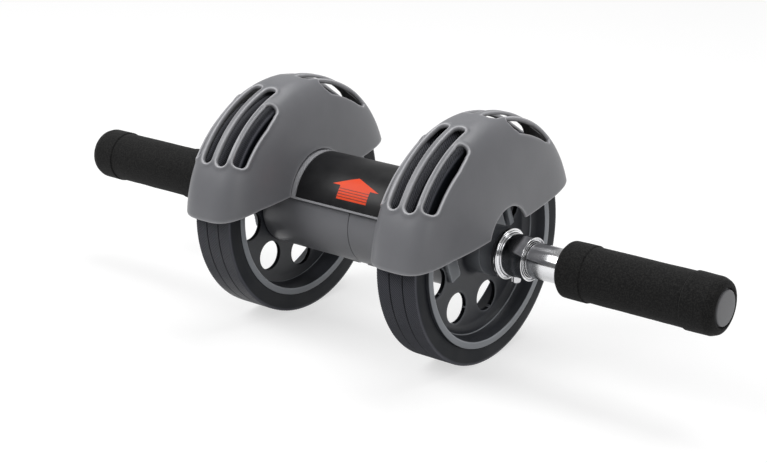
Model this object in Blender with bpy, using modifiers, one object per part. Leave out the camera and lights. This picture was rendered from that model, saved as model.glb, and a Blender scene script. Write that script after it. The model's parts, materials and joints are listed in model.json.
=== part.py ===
"""Ab roller with two hooded wheels on one axle tube, and spring return inside the centre barrel.

X runs along the axle, the user kneels on the -Y side, and Z is up. The floor is z = 0.
"""
from math import atan2, copysign, cos, hypot, pi, radians, sin, tan

import bmesh
import bpy
from mathutils import Matrix, Vector

MM = 0.001

# Running and assembly gaps
SEAT_GAP = 0.0003
RUNNING_GAP = 0.0011

# Wheels and tyres
TYRE_RADIUS = 0.085
TYRE_WIDTH = 0.0336
TYRE_INSET = 0.0020
TYRE_SHOULDER = 0.0022
TREAD_BANDS = 3
GROOVE_WIDTH = 0.0013
GROOVE_DEPTH = 0.0010
TYRE_SECTION = 0.0128
RIM_WIDTH = 0.0354
RIM_INSET = 0.0009
RIM_LIP = 0.0048
RIM_DRAFT = 0.0016
WHEEL_OFFSET = 0.0871
WEB_THICKNESS = 0.0037
WEB_OUTER_OFFSET = 0.0009
WEB_FILLET = 0.0026
HOLE_COUNT = 8
HOLE_LAND = 0.0052
RIGHT_HOLE_PHASE = radians(-113.5)
LEFT_HOLE_PHASE = radians(-121.5)
HUB_RADIUS = 0.0181
HUB_LENGTH = 0.028
HUB_FILLET = 0.0048
PAD_SETBACK = 0.0009
PAD_DEPTH = 0.0105
PAD_LAND = 0.0011
PAD_WIDTH = 0.0165
PAD_RISE = 0.0035
BRIDGE_WIDTH = 0.0048
BRIDGE_INSET = 0.0040

# Axle tube, bushes, collars and the centre anchor
AXLE_RADIUS = 0.0152
AXLE_WALL = 0.0023
AXLE_LENGTH = 0.278
ROLLED_RING_WIDTH = 0.0020
ROLLED_RING_RISE = 0.0003
BUSH_WALL = 0.0012
BUSH_LENGTH = 0.012
BUSH_FLANGE = 0.0009
COLLAR_RADIUS = 0.0182
COLLAR_STEP_RADIUS = 0.0170
COLLAR_WIDTH = 0.0024
COLLAR_STEP_WIDTH = 0.0014
RETAINER_HEIGHT = 0.0017
RETAINER_WIDTH = 0.0016
ANCHOR_WIDTH = 0.024
ANCHOR_WAIST_RADIUS = 0.0220
ANCHOR_WAIST_WIDTH = 0.0090
PIN_RADIUS = 0.0030
PIN_INSET = 0.0005

# Return springs
SPRING_WIRE = 0.0030
SPRING_RADIUS = 0.0200
SPRING_TURNS = 12
SPRING_POINTS_PER_TURN = 8
SPRING_TAIL = 0.0045
SPRING_BEND = 0.0025
SPRING_BEND_STEPS = 3
TAIL_CLEARANCE = 0.0004
TAIL_HOLE_DEPTH = 0.0052

# Drive hubs that join the springs to the wheels
DRIVE_FLANGE_RADIUS = 0.0290
DRIVE_FLANGE_THICKNESS = 0.0030
DRIVE_BODY_RADIUS = 0.0229
DRIVE_BODY_LENGTH = 0.0155
DRIVE_SCREWS = 3
DRIVE_SCREW_CIRCLE = 0.0260
DRIVE_SCREW_LENGTH = 0.0062

# Barrel and its upper cover
BARREL_RADIUS = 0.0331
BARREL_WALL = 0.0030
BARREL_SEAM = 0.0004
COVER_RADIUS = 0.0340
COVER_WALL = 0.0021
COVER_RISE = 0.0084
COVER_HALF_LENGTH = 0.067
COVER_EDGE_ANGLE = radians(10.2)
COVER_EDGE_STEP = radians(0.5)
COVER_RIB_WIDTH = 0.0070
COVER_RIB_OFFSET = 0.0633
COVER_RIB_ROOT = 0.0191
FRAME_RISE = 0.0006
FRAME_HALF_LENGTH = 0.0537
FRAME_SIDE_WIDTH = 0.0040
FRAME_EDGE_WIDTH = 0.0015
LABEL_THICKNESS = 0.0005
LABEL_RECESS = 0.0006

# Hoods over the wheels
HOOD_CLEARANCE = 0.0054
HOOD_WALL = 0.0026
HOOD_REAR_SWELL = 0.0100
HOOD_SWELL_POWER = 3
HOOD_FRONT_HALF_WIDTH = 0.0345
HOOD_REAR_HALF_WIDTH = 0.0290
HOOD_SQUARENESS = 3.4
HOOD_SPREAD = radians(76)
HOOD_EDGE = (
    (-0.120, 0.0028), (-0.093, 0.0048), (-0.064, 0.0118), (-0.028, 0.0158),
    (0.030, 0.0204), (0.103, 0.0300), (0.130, 0.0336),
)
OUTER_ARCH_RADIUS = 0.0266
OUTER_ARCH_RISE = 0.0070
SADDLE_WALL = 0.0024
SADDLE_INSET = 0.0001
SADDLE_BITE = 0.00156
SADDLE_REACH = 0.0670
SADDLE_START = radians(25)
SADDLE_END = radians(165)
SADDLE_STEPS = 20

# Slots at the front of each hood and vents at its back: where they start and end round the axle
CENTRE_SLOT = (105.5, 151.0)
FLANK_SLOT = (116.5, 149.6)
CENTRE_VENT = (49.0, 88.0)
FLANK_VENT = (45.0, 79.8)
# Rows of the hood's grid: an angle in degrees, then the near and far edges of the centre opening and
# the near and far edges of the flank opening, in millimetres from the wheel's mid-plane
HOOD_ROWS = (
    (5.0, 3.0, 13.8, 16.3, 22.6),
    (20.0, 3.0, 13.8, 16.3, 22.6),
    (33.0, 3.4, 13.4, 16.8, 22.2),
    (45.0, 5.6, 10.8, 19.2, 20.4),
    (49.0, 6.4, 10.0, 18.9, 20.9),
    (59.5, 4.4, 12.1, 17.3, 22.0),
    (74.0, 3.0, 13.7, 16.3, 22.6),
    (79.8, 3.0, 13.8, 16.2, 17.4),
    (86.0, 3.0, 13.8, 16.0, 20.0),
    (88.0, 3.6, 10.6, 15.0, 22.0),
    (96.0, 2.6, 11.2, 14.6, 23.2),
    (104.2, 1.9, 11.5, 14.6, 23.2),
    (105.5, 1.9, 11.5, 14.6, 23.2),
    (115.2, 1.9, 11.5, 14.6, 23.2),
    (116.5, 1.9, 11.5, 14.6, 23.2),
    (127.0, 1.9, 11.5, 14.6, 23.2),
    (138.0, 1.9, 11.5, 14.6, 23.2),
    (149.6, 1.9, 11.5, 14.6, 23.2),
    (151.0, 1.9, 11.5, 14.6, 23.2),
    (152.3, 1.9, 11.5, 14.6, 23.2),
    (167.0, 1.9, 11.5, 14.6, 23.2),
    (183.0, 1.9, 11.5, 14.6, 23.2),
)
HOOD_FLANK_COLUMNS = 4
SLOT_LIP = 0.0014
SLOT_LIP_RISE = 0.0008
CUTTER_REACH = 0.0070

# Handles
HANDLE_RADIUS = 0.0125
HANDLE_WALL = 0.0014
HANDLE_INSERTION = 0.044
HANDLE_REACH = 0.145
GRIP_SETBACK = 0.0265
GRIP_PAST_TUBE = 0.0030
GRIP_RADIUS = 0.0191
GRIP_BAND_RADIUS = 0.0199
GRIP_INNER_BAND = 0.0225
GRIP_OUTER_BAND = 0.0240
GRIP_STEP = 0.0010
GRIP_INNER_ROUNDING = 0.0065
GRIP_OUTER_ROUNDING = 0.0080
GRIP_ROUNDING_HEIGHT = 0.0052
GRIP_WELL_RADIUS = 0.0141
CAP_STAND = 0.0003
CAP_RADIUS = 0.0134
CAP_THICKNESS = 0.0030
CAP_CHAMFER = 0.0005
CAP_PLUG_RADIUS = 0.0108
CAP_PLUG_LENGTH = 0.0160

# Snap buttons that lock the handles in the axle tube
BUTTON_STAND = 0.0037
BUTTON_RADIUS = 0.0033
BUTTON_HOLE_CLEARANCE = 0.0004
BUTTON_REACH = 0.0200
BUTTON_CHAMFER = 0.0010
BUTTON_HEAD_RADIUS = 0.0046
BUTTON_HEAD_THICKNESS = 0.0015
BUTTON_HEAD_TOP = 0.0080
STRIP_WIDTH = 0.0060
STRIP_THICKNESS = 0.0005
STRIP_BEND = 0.0020
STRIP_BEND_OFFSET = 0.0220
STRIP_BEND_STEPS = 6
STRIP_SLOPE = radians(27.5)
STRIP_PAST_BUTTON = 0.0050
STRIP_TOP = 0.0103

# Screws
SCREW_RADIUS = 0.00175
SCREW_HOLE_CLEARANCE = 0.0003
SCREW_HEAD_RADIUS = 0.0034
SCREW_HEAD_HEIGHT = 0.0016
SMALL_SCREW_RADIUS = 0.0015
SMALL_SCREW_HEAD_RADIUS = 0.0026
SMALL_SCREW_HEAD_HEIGHT = 0.0020
BARREL_SCREW_OFFSET = 0.0072
BARREL_SCREW_ANGLE = radians(25)
BARREL_SCREW_SINK = 0.0012
BARREL_SCREW_LENGTH = 0.0098
HOOD_SCREW_ANGLE = radians(35)
HOOD_SCREW_HEAD_RADIUS = 0.0030
HOOD_SCREW_LENGTH = 0.0130
HOLE_RUN_OUT = 0.0040
RECESS_DEPTH = 0.0008
SOCKET_SHARE = 0.45
SOCKET_SIDES = 6

# Facets round a turn
TYRE_STEPS = 48
WHEEL_STEPS = 36
TUBE_STEPS = 24
BARREL_STEPS = 40
COVER_STEPS = 15
HOLE_STEPS = 16
SMALL_STEPS = 10
TAIL_HOLE_STEPS = 8

SHARP_ANGLE = radians(30)
MERGE_DISTANCE = 0.00001

RIM_RADIUS = TYRE_RADIUS - TYRE_SECTION
WEB_START = HUB_RADIUS + HUB_FILLET
WEB_EDGE = RIM_RADIUS - RIM_LIP - RIM_DRAFT - WEB_FILLET
PAD_INNER = WEB_START + PAD_SETBACK
HOLE_START = PAD_INNER + PAD_DEPTH + PAD_LAND
HOLE_RADIUS = (WEB_EDGE - HOLE_LAND - HOLE_START) / 2
HOLE_CIRCLE = HOLE_START + HOLE_RADIUS
HOOD_FRONT_RADIUS = TYRE_RADIUS + HOOD_CLEARANCE + HOOD_WALL
WEB_OUTER = WHEEL_OFFSET + WEB_OUTER_OFFSET
WEB_INNER = WEB_OUTER - WEB_THICKNESS
HUB_END = WEB_OUTER + HUB_LENGTH
BARREL_HALF_LENGTH = WEB_INNER - RUNNING_GAP
BARREL_BORE = BARREL_RADIUS - BARREL_WALL
AXLE_BORE = AXLE_RADIUS - AXLE_WALL
BUSH_BORE = AXLE_RADIUS + SEAT_GAP
BUSH_RADIUS = BUSH_BORE + BUSH_WALL
HUB_BORE = BUSH_RADIUS + SEAT_GAP
HUB_LAND = HUB_BORE - BUSH_WALL + SEAT_GAP
COLLAR_START = HUB_END + BUSH_FLANGE + 2 * SEAT_GAP
COLLAR_STEP = COLLAR_START + COLLAR_WIDTH
COLLAR_END = COLLAR_STEP + COLLAR_STEP_WIDTH
DRIVE_END = WEB_INNER - SEAT_GAP
DRIVE_STEP = DRIVE_END - DRIVE_FLANGE_THICKNESS
DRIVE_START = DRIVE_STEP - DRIVE_BODY_LENGTH
RETAINER_RADIUS = BUSH_BORE + RETAINER_HEIGHT
AXLE_END = AXLE_LENGTH / 2
HANDLE_BORE = HANDLE_RADIUS - HANDLE_WALL
HANDLE_START = AXLE_END - HANDLE_INSERTION
HANDLE_END = AXLE_END + HANDLE_REACH
GRIP_START = AXLE_END + GRIP_SETBACK
GRIP_END = HANDLE_END + GRIP_PAST_TUBE
GRIP_INNER_BAND_END = GRIP_START + GRIP_INNER_BAND
GRIP_OUTER_BAND_START = GRIP_END - GRIP_OUTER_BAND
CAP_FACE = GRIP_END + CAP_STAND
BUTTON_OFFSET = COLLAR_END + BUTTON_STAND
ARCH_RADIUS = COVER_RADIUS + SEAT_GAP
SADDLE_BORE = ARCH_RADIUS + SADDLE_INSET
SADDLE_RADIUS = SADDLE_BORE + SADDLE_WALL
SCREW_HOLE = SCREW_RADIUS + SCREW_HOLE_CLEARANCE
BARREL_SCREW_SEAT = BARREL_RADIUS - BARREL_SCREW_SINK
AXLE_CENTRE = Vector((0.0, 0.0, TYRE_RADIUS))
SIDES = ((-1, "left"), (1, "right"))
PARTS = "ab_roller"
CUTTERS = "cutters"


def clear_scene():
    for obj in list(bpy.data.objects):
        bpy.data.objects.remove(obj, do_unlink=True)


def make_collections():
    for name in (PARTS, CUTTERS):
        collection = bpy.data.collections.new(name)
        bpy.context.scene.collection.children.link(collection)


def make_material(name, colour, roughness, metallic=0.0):
    material = bpy.data.materials.new(name)
    material.use_nodes = True
    shader = material.node_tree.nodes["Principled BSDF"]
    shader.inputs["Base Color"].default_value = (*colour, 1.0)
    shader.inputs["Roughness"].default_value = roughness
    shader.inputs["Metallic"].default_value = metallic
    return material


def make_materials():
    return {
        "hood": make_material("hood_plastic", (0.145, 0.147, 0.155), 0.42),
        "wheel": make_material("wheel_plastic", (0.045, 0.047, 0.055), 0.45),
        "rubber": make_material("tyre_rubber", (0.014, 0.015, 0.019), 0.70),
        "foam": make_material("grip_foam", (0.018, 0.018, 0.018), 0.90),
        "chrome": make_material("chrome", (0.80, 0.80, 0.81), 0.08, 1.0),
        "steel": make_material("zinc_steel", (0.55, 0.55, 0.56), 0.30, 1.0),
        "spring": make_material("spring_steel", (0.16, 0.16, 0.17), 0.35, 1.0),
        "nylon": make_material("bush_nylon", (0.030, 0.031, 0.034), 0.50),
        "label": make_material("label_film", (0.012, 0.012, 0.013), 0.35),
        "cap": make_material("cap_plastic", (0.16, 0.16, 0.165), 0.45),
    }


def add_object(name, data, material=None, origin=AXLE_CENTRE):
    """Links a part, or a hidden cutter if it has no material. Shapes are drawn about their origin."""
    obj = bpy.data.objects.new(name, data)
    obj.location = origin
    if material:
        data.materials.append(material)
        bpy.data.collections[PARTS].objects.link(obj)
    else:
        obj.hide_render = True
        obj.display_type = "WIRE"
        bpy.data.collections[CUTTERS].objects.link(obj)
    return obj


def add_bmesh(name, bm, material=None, origin=AXLE_CENTRE):
    mesh = bpy.data.meshes.new(name)
    bm.to_mesh(mesh)
    bm.free()
    mesh.shade_smooth()
    mesh.set_sharp_from_angle(angle=SHARP_ANGLE)
    return add_object(name, mesh, material, origin)


def combine(target, operation, others):
    for other in others:
        modifier = target.modifiers.new(operation.lower() + "_" + other.name, "BOOLEAN")
        modifier.operation = operation
        modifier.object = other


def cut(target, *cutters):
    combine(target, "DIFFERENCE", cutters)


def join(target, *guides):
    combine(target, "UNION", guides)


def mirrored(profile, side):
    return [(side * x, radius) for x, radius in profile]


def raised(rise):
    return AXLE_CENTRE + Vector((0.0, 0.0, rise))


def radial(x, distance, angle, rise=0.0):
    """The point at this distance from the X axis, in the direction of angle from +Y."""
    return Vector((x, distance * cos(angle), rise + distance * sin(angle)))


def corner(x, radius, width, height, start, end, count=4):
    """(distance along X, radius) points of a quarter ellipse about (x, radius)."""
    angles = [radians(start + (end - start) * i / count) for i in range(count + 1)]
    return [(x + width * cos(a), radius + height * sin(a)) for a in angles]


def turned(name, profile, steps, material=None, phase=0.0, origin=AXLE_CENTRE):
    """Revolves a closed outline of (distance along X, radius) points about the X axis."""
    following = profile[1:] + profile[:1]
    area = sum(x0 * r1 - x1 * r0 for (x0, r0), (x1, r1) in zip(profile, following))
    if area < 0:
        profile = profile[::-1]
    bm = bmesh.new()
    verts = [bm.verts.new((x, r * cos(phase), r * sin(phase))) for x, r in profile]
    for i, vert in enumerate(verts):
        j = (i + 1) % len(verts)
        if profile[i][1] > 0 or profile[j][1] > 0:
            bm.edges.new((vert, verts[j]))
    obj = add_bmesh(name, bm, material, origin)
    screw = obj.modifiers.new("turn", "SCREW")
    screw.axis = "X"
    screw.steps = steps
    screw.render_steps = steps
    screw.use_merge_vertices = True
    screw.merge_threshold = MERGE_DISTANCE
    return obj


def ring(name, start, end, inner, outer, steps, material=None):
    profile = [(end, outer), (start, outer), (start, inner), (end, inner)]
    return turned(name, profile, steps, material)


def add_cylinder(bm, start, end, radius, steps):
    """Adds a closed cylinder that runs from one point to another."""
    along = end - start
    made = bmesh.ops.create_cone(
        bm, cap_ends=True, segments=steps, radius1=radius, radius2=radius, depth=along.length
    )
    turn = Vector((0, 0, 1)).rotation_difference(along).to_matrix().to_4x4()
    place = Matrix.Translation((start + end) / 2) @ turn
    bmesh.ops.transform(bm, matrix=place, verts=made["verts"])


def rod(name, start, end, radius, steps=SMALL_STEPS, material=None, origin=AXLE_CENTRE):
    bm = bmesh.new()
    add_cylinder(bm, start, end, radius, steps)
    return add_bmesh(name, bm, material, origin)


def box(name, centre, size, turn):
    """A block centred at this point, then turned about the axle's centre."""
    bm = bmesh.new()
    bmesh.ops.create_cube(bm, size=1.0)
    place = turn @ Matrix.Translation(centre) @ Matrix.Diagonal((*size, 1.0))
    bmesh.ops.transform(bm, matrix=place, verts=bm.verts)
    return add_bmesh(name, bm)


def extruded(name, outline, depth, place, material=None, origin=AXLE_CENTRE):
    """Extrudes a closed flat outline by this depth, centred on it, and then moves it by a matrix."""
    curve = bpy.data.curves.new(name, "CURVE")
    curve.dimensions = "2D"
    curve.fill_mode = "BOTH"
    curve.extrude = depth / 2
    spline = curve.splines.new("POLY")
    spline.points.add(len(outline) - 1)
    for point, (first, second) in zip(spline.points, outline):
        point.co = (first, second, 0.0, 1.0)
    spline.use_cyclic_u = True
    drawn = add_object(name + "_outline", curve)
    graph = bpy.context.evaluated_depsgraph_get()
    mesh = bpy.data.meshes.new_from_object(drawn.evaluated_get(graph))
    bpy.data.objects.remove(drawn, do_unlink=True)
    bm = bmesh.new()
    bm.from_mesh(mesh)
    bpy.data.meshes.remove(mesh)
    bmesh.ops.remove_doubles(bm, verts=bm.verts, dist=MERGE_DISTANCE)
    bmesh.ops.transform(bm, matrix=place, verts=bm.verts)
    bmesh.ops.recalc_face_normals(bm, faces=bm.faces)
    return add_bmesh(name, bm, material, origin)


def extruded_along_x(name, outline, start, end, material=None):
    """Extrudes an outline of (y, z) points between two distances along X."""
    place = Matrix(((0, 0, 1, (start + end) / 2), (1, 0, 0, 0), (0, 1, 0, 0), (0, 0, 0, 1)))
    return extruded(name, outline, abs(end - start), place, material)


def arc(radius, start, end, count, rise=0.0):
    """(y, z) points round the X axis, with the centre raised by rise."""
    angles = [start + (end - start) * i / count for i in range(count + 1)]
    return [(radius * cos(a), rise + radius * sin(a)) for a in angles]


def make_tyre(side, name, material):
    edge = TYRE_WIDTH / 2
    crown = TYRE_RADIUS / cos(pi / TYRE_STEPS)
    bore = RIM_RADIUS + SEAT_GAP
    shoulder = crown - TYRE_SHOULDER
    profile = corner(edge - TYRE_SHOULDER, shoulder, TYRE_SHOULDER, TYRE_SHOULDER, 0, 90, 1)
    for i in range(1, TREAD_BANDS):
        groove = edge - TYRE_WIDTH * i / TREAD_BANDS
        profile += [(groove + GROOVE_WIDTH / 2, crown), (groove, crown - GROOVE_DEPTH)]
        profile += [(groove - GROOVE_WIDTH / 2, crown)]
    profile += corner(TYRE_SHOULDER - edge, shoulder, TYRE_SHOULDER, TYRE_SHOULDER, 90, 180, 1)
    profile += [(-edge, bore), (edge, bore)]
    profile = [(x + WHEEL_OFFSET - TYRE_INSET, radius) for x, radius in profile]
    # Half a facet of phase lays one flat facet on the floor.
    return turned(name, mirrored(profile, side), TYRE_STEPS, material, phase=pi / TYRE_STEPS)


def make_wheel(side, name, phase, material):
    """Rim, recessed web with round holes, and hub, in one moulding."""
    lip_outer = WHEEL_OFFSET - RIM_INSET + RIM_WIDTH / 2
    lip_inner = WHEEL_OFFSET - RIM_INSET - RIM_WIDTH / 2
    lip_bore = RIM_RADIUS - RIM_LIP
    inner_seat = WEB_INNER + BUSH_LENGTH
    outer_seat = HUB_END - BUSH_LENGTH
    profile = [(lip_outer, RIM_RADIUS), (lip_inner, RIM_RADIUS), (lip_inner, lip_bore)]
    profile += corner(WEB_INNER - WEB_FILLET, WEB_EDGE, WEB_FILLET, WEB_FILLET, 90, 0, 1)
    profile += [(WEB_INNER, HUB_BORE), (inner_seat, HUB_BORE), (inner_seat, HUB_LAND)]
    profile += [(outer_seat, HUB_LAND), (outer_seat, HUB_BORE), (HUB_END, HUB_BORE)]
    profile += [(HUB_END, HUB_RADIUS)]
    profile += corner(WEB_OUTER + HUB_FILLET, WEB_START, HUB_FILLET, HUB_FILLET, 270, 180, 2)
    profile += corner(WEB_OUTER + WEB_FILLET, WEB_EDGE, WEB_FILLET, WEB_FILLET, 180, 90, 1)
    profile += [(lip_outer, lip_bore)]
    wheel = turned(name, mirrored(profile, side), WHEEL_STEPS, material)
    cut(wheel, *wheel_holes(side, name, phase))
    join(wheel, *wheel_pads(side, name, phase))
    for i in range(DRIVE_SCREWS):
        cut(wheel, drive_screw_hole(side, "%s_screw_hole_%d" % (name, i + 1), i))
    return wheel


def wheel_holes(side, name, phase):
    holes = []
    for i in range(HOLE_COUNT):
        angle = phase + 2 * pi * i / HOLE_COUNT
        start = radial(side * (WEB_INNER - WEB_THICKNESS), HOLE_CIRCLE, angle)
        end = radial(side * (WEB_OUTER + WEB_THICKNESS), HOLE_CIRCLE, angle)
        holes.append(rod("%s_hole_%d" % (name, i + 1), start, end, HOLE_RADIUS, HOLE_STEPS))
    return holes


def wheel_pads(side, name, phase):
    """Two plain pads on opposite sides of the hub, and a bar across the hole beyond one of them."""
    thickness = WEB_THICKNESS / 2 + PAD_RISE
    middle = side * (WEB_OUTER - WEB_THICKNESS / 2 + thickness / 2)
    bar = HOLE_START + BRIDGE_INSET + BRIDGE_WIDTH / 2
    pads = []
    for i in (-1, 3):
        turn = Matrix.Rotation(phase + 2 * pi * i / HOLE_COUNT, 4, "X")
        centre = (middle, PAD_INNER + PAD_DEPTH / 2, 0.0)
        pads.append(box("%s_pad_%d" % (name, i + 2), centre, (thickness, PAD_DEPTH, PAD_WIDTH), turn))
    size = (thickness, BRIDGE_WIDTH, 2 * HOLE_RADIUS)
    pads.append(box(name + "_bridge", (middle, bar, 0.0), size, turn))
    return pads


def drive_screw_angle(i):
    return radians(90) + 2 * pi * i / DRIVE_SCREWS


def drive_screw_seat(side, i):
    return radial(side * (DRIVE_STEP - SEAT_GAP), DRIVE_SCREW_CIRCLE, drive_screw_angle(i))


def drive_screw_hole(side, name, i):
    """A hole through the drive flange that ends inside the wheel's web."""
    start = drive_screw_seat(side, i)
    end = start + Vector((side * (DRIVE_SCREW_LENGTH + SEAT_GAP), 0, 0))
    return rod(name, start, end, SMALL_SCREW_RADIUS + SCREW_HOLE_CLEARANCE)


def make_screw(name, seat, direction, length, radius, head_radius, head_height, material):
    """A flat-headed screw: its shank runs from the seat along direction, with a six-sided socket behind."""
    bm = bmesh.new()
    add_cylinder(bm, seat - direction * head_height / 4, seat + direction * length, radius, SMALL_STEPS)
    screw = add_bmesh(name, bm, material)
    head = rod(name + "_head", seat - direction * head_height, seat, head_radius)
    top = seat - direction * head_height
    socket = rod(
        name + "_socket", top - direction * RECESS_DEPTH, top + direction * RECESS_DEPTH,
        head_radius * SOCKET_SHARE, SOCKET_SIDES,
    )
    cut(head, socket)
    join(screw, head)
    return screw


def make_outer_bush(side, name, material):
    """A bush whose flange stands between the wheel's hub and the collar."""
    flange = HUB_END + SEAT_GAP
    start = HUB_END - BUSH_LENGTH + SEAT_GAP
    profile = [(flange + BUSH_FLANGE, HUB_RADIUS - SEAT_GAP), (flange, HUB_RADIUS - SEAT_GAP)]
    profile += [(flange, BUSH_RADIUS), (start, BUSH_RADIUS), (start, BUSH_BORE)]
    profile += [(flange + BUSH_FLANGE, BUSH_BORE)]
    return turned(name, mirrored(profile, side), TUBE_STEPS, material)


def make_inner_bush(side, name, material):
    end = WEB_INNER + BUSH_LENGTH - SEAT_GAP
    return ring(name, side * WEB_INNER, side * end, BUSH_BORE, BUSH_RADIUS, TUBE_STEPS, material)


def make_drive_hub(side, name, material):
    """Screwed to the wheel's web, it carries the outer end of the return spring."""
    recess = DRIVE_START + RETAINER_WIDTH + 2 * SEAT_GAP
    recess_radius = RETAINER_RADIUS + SEAT_GAP
    profile = [(DRIVE_END, DRIVE_FLANGE_RADIUS), (DRIVE_STEP, DRIVE_FLANGE_RADIUS)]
    profile += [(DRIVE_STEP, DRIVE_BODY_RADIUS), (DRIVE_START, DRIVE_BODY_RADIUS)]
    profile += [(DRIVE_START, recess_radius), (recess, recess_radius), (recess, BUSH_BORE)]
    profile += [(DRIVE_END, BUSH_BORE)]
    hub = turned(name, mirrored(profile, side), TUBE_STEPS, material)
    for i in range(DRIVE_SCREWS):
        cut(hub, drive_screw_hole(side, "%s_screw_hole_%d" % (name, i + 1), i))
    cut(hub, tail_hole(side, name + "_tail_hole", DRIVE_START, 1, -spring_path()[-1][1] / SPRING_RADIUS))
    return hub


def tail_hole(side, name, face, outward, angle):
    """A blind hole for a spring's tail, sunk into a face at this distance along the axle."""
    start = radial(side * (face - outward * SEAT_GAP), SPRING_RADIUS, angle)
    end = radial(side * (face + outward * TAIL_HOLE_DEPTH), SPRING_RADIUS, angle)
    return rod(name, start, end, SPRING_WIRE / 2 + TAIL_CLEARANCE, TAIL_HOLE_STEPS)


def spring_path():
    """(distance along the axle, distance round the coil) of the wire, from the anchor to the drive hub."""
    face = ANCHOR_WIDTH / 2
    along = DRIVE_START - face - 2 * SPRING_BEND
    helix = 2 * pi * SPRING_RADIUS * SPRING_TURNS
    count = SPRING_TURNS * SPRING_POINTS_PER_TURN
    bend = [pi / 2 * i / SPRING_BEND_STEPS for i in range(SPRING_BEND_STEPS)]
    path = [(face - SPRING_TAIL, 0.0)]
    path += [(face + SPRING_BEND * sin(a), SPRING_BEND * (1 - cos(a))) for a in bend]
    for i in range(count + 1):
        path.append((face + SPRING_BEND + along * i / count, SPRING_BEND + helix * i / count))
    end_x, end_round = path[-1]
    for a in bend[::-1]:
        path.append((end_x + SPRING_BEND * (1 - sin(a)), end_round + SPRING_BEND * cos(a)))
    path.append((DRIVE_START + SPRING_TAIL, path[-1][1]))
    return path


def make_return_spring(side, name, material):
    """One wire wound so that rolling away from the user tightens it on both sides."""
    points = [radial(side * x, SPRING_RADIUS, -s / SPRING_RADIUS) for x, s in spring_path()]
    curve = bpy.data.curves.new(name, "CURVE")
    curve.dimensions = "3D"
    curve.bevel_depth = SPRING_WIRE / 2
    curve.bevel_resolution = 1
    curve.use_fill_caps = True
    spline = curve.splines.new("POLY")
    spline.points.add(len(points) - 1)
    for point, place in zip(spline.points, points):
        point.co = (*place, 1.0)
    apart = SPRING_POINTS_PER_TURN // 2
    near = min((p - q).length for i, p in enumerate(points) for q in points[i + apart:])
    print("%s: least gap between its turns %.2f mm" % (name, (near - SPRING_WIRE) / MM))
    return add_object(name, curve, material)


def make_anchor(name, material):
    """A spool on the axle tube that holds the springs' inner ends and both barrel halves."""
    end = ANCHOR_WIDTH / 2
    waist = ANCHOR_WAIST_WIDTH / 2
    rim = BARREL_BORE - SEAT_GAP
    profile = [(end, rim), (waist, rim), (waist, ANCHOR_WAIST_RADIUS), (-waist, ANCHOR_WAIST_RADIUS)]
    profile += [(-waist, rim), (-end, rim), (-end, BUSH_BORE), (end, BUSH_BORE)]
    anchor = turned(name, profile, TUBE_STEPS, material)
    for side, label in SIDES:
        cut(anchor, tail_hole(side, name + "_tail_hole_" + label, end, -1, 0.0))
    return anchor


def make_axle_tube(name, material):
    """One tube with a rolled ring at each open end."""
    rolled = AXLE_RADIUS + ROLLED_RING_RISE
    inner = AXLE_END - ROLLED_RING_WIDTH
    middle = AXLE_END - ROLLED_RING_WIDTH / 2
    profile = [(AXLE_END, AXLE_RADIUS), (middle, rolled), (inner, AXLE_RADIUS)]
    profile += [(-inner, AXLE_RADIUS), (-middle, rolled), (-AXLE_END, AXLE_RADIUS)]
    profile += [(-AXLE_END, AXLE_BORE), (AXLE_END, AXLE_BORE)]
    return turned(name, profile, TUBE_STEPS, material)


def make_collar(side, name, material):
    edge = COLLAR_WIDTH / 3
    profile = [(COLLAR_END, BUSH_BORE), (COLLAR_END, COLLAR_STEP_RADIUS), (COLLAR_STEP, COLLAR_STEP_RADIUS)]
    profile += corner(COLLAR_STEP - edge, COLLAR_RADIUS - edge, edge, edge, 0, 90, 1)
    profile += corner(COLLAR_START + edge, COLLAR_RADIUS - edge, edge, edge, 90, 180, 1)
    profile += [(COLLAR_START, BUSH_BORE)]
    return turned(name, mirrored(profile, side), TUBE_STEPS, material)


def make_retaining_ring(side, name, material):
    """Sits in the drive hub's recess, and keeps the wheel from sliding out along the axle."""
    start = DRIVE_START + SEAT_GAP
    end = start + RETAINER_WIDTH
    return ring(name, side * start, side * end, BUSH_BORE, RETAINER_RADIUS, TUBE_STEPS, material)


def make_barrel_half(side, name, material):
    start, end = side * BARREL_SEAM / 2, side * BARREL_HALF_LENGTH
    return ring(name, start, end, BARREL_BORE, BARREL_RADIUS, BARREL_STEPS, material)


def cover_band(inner, outer, edge):
    """An arched band about the cover's raised centre, whose two edges stand at this angle."""
    upper = arc(outer, edge, pi - edge, COVER_STEPS, COVER_RISE)
    return upper + arc(inner, pi - edge, edge, COVER_STEPS, COVER_RISE)


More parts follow.
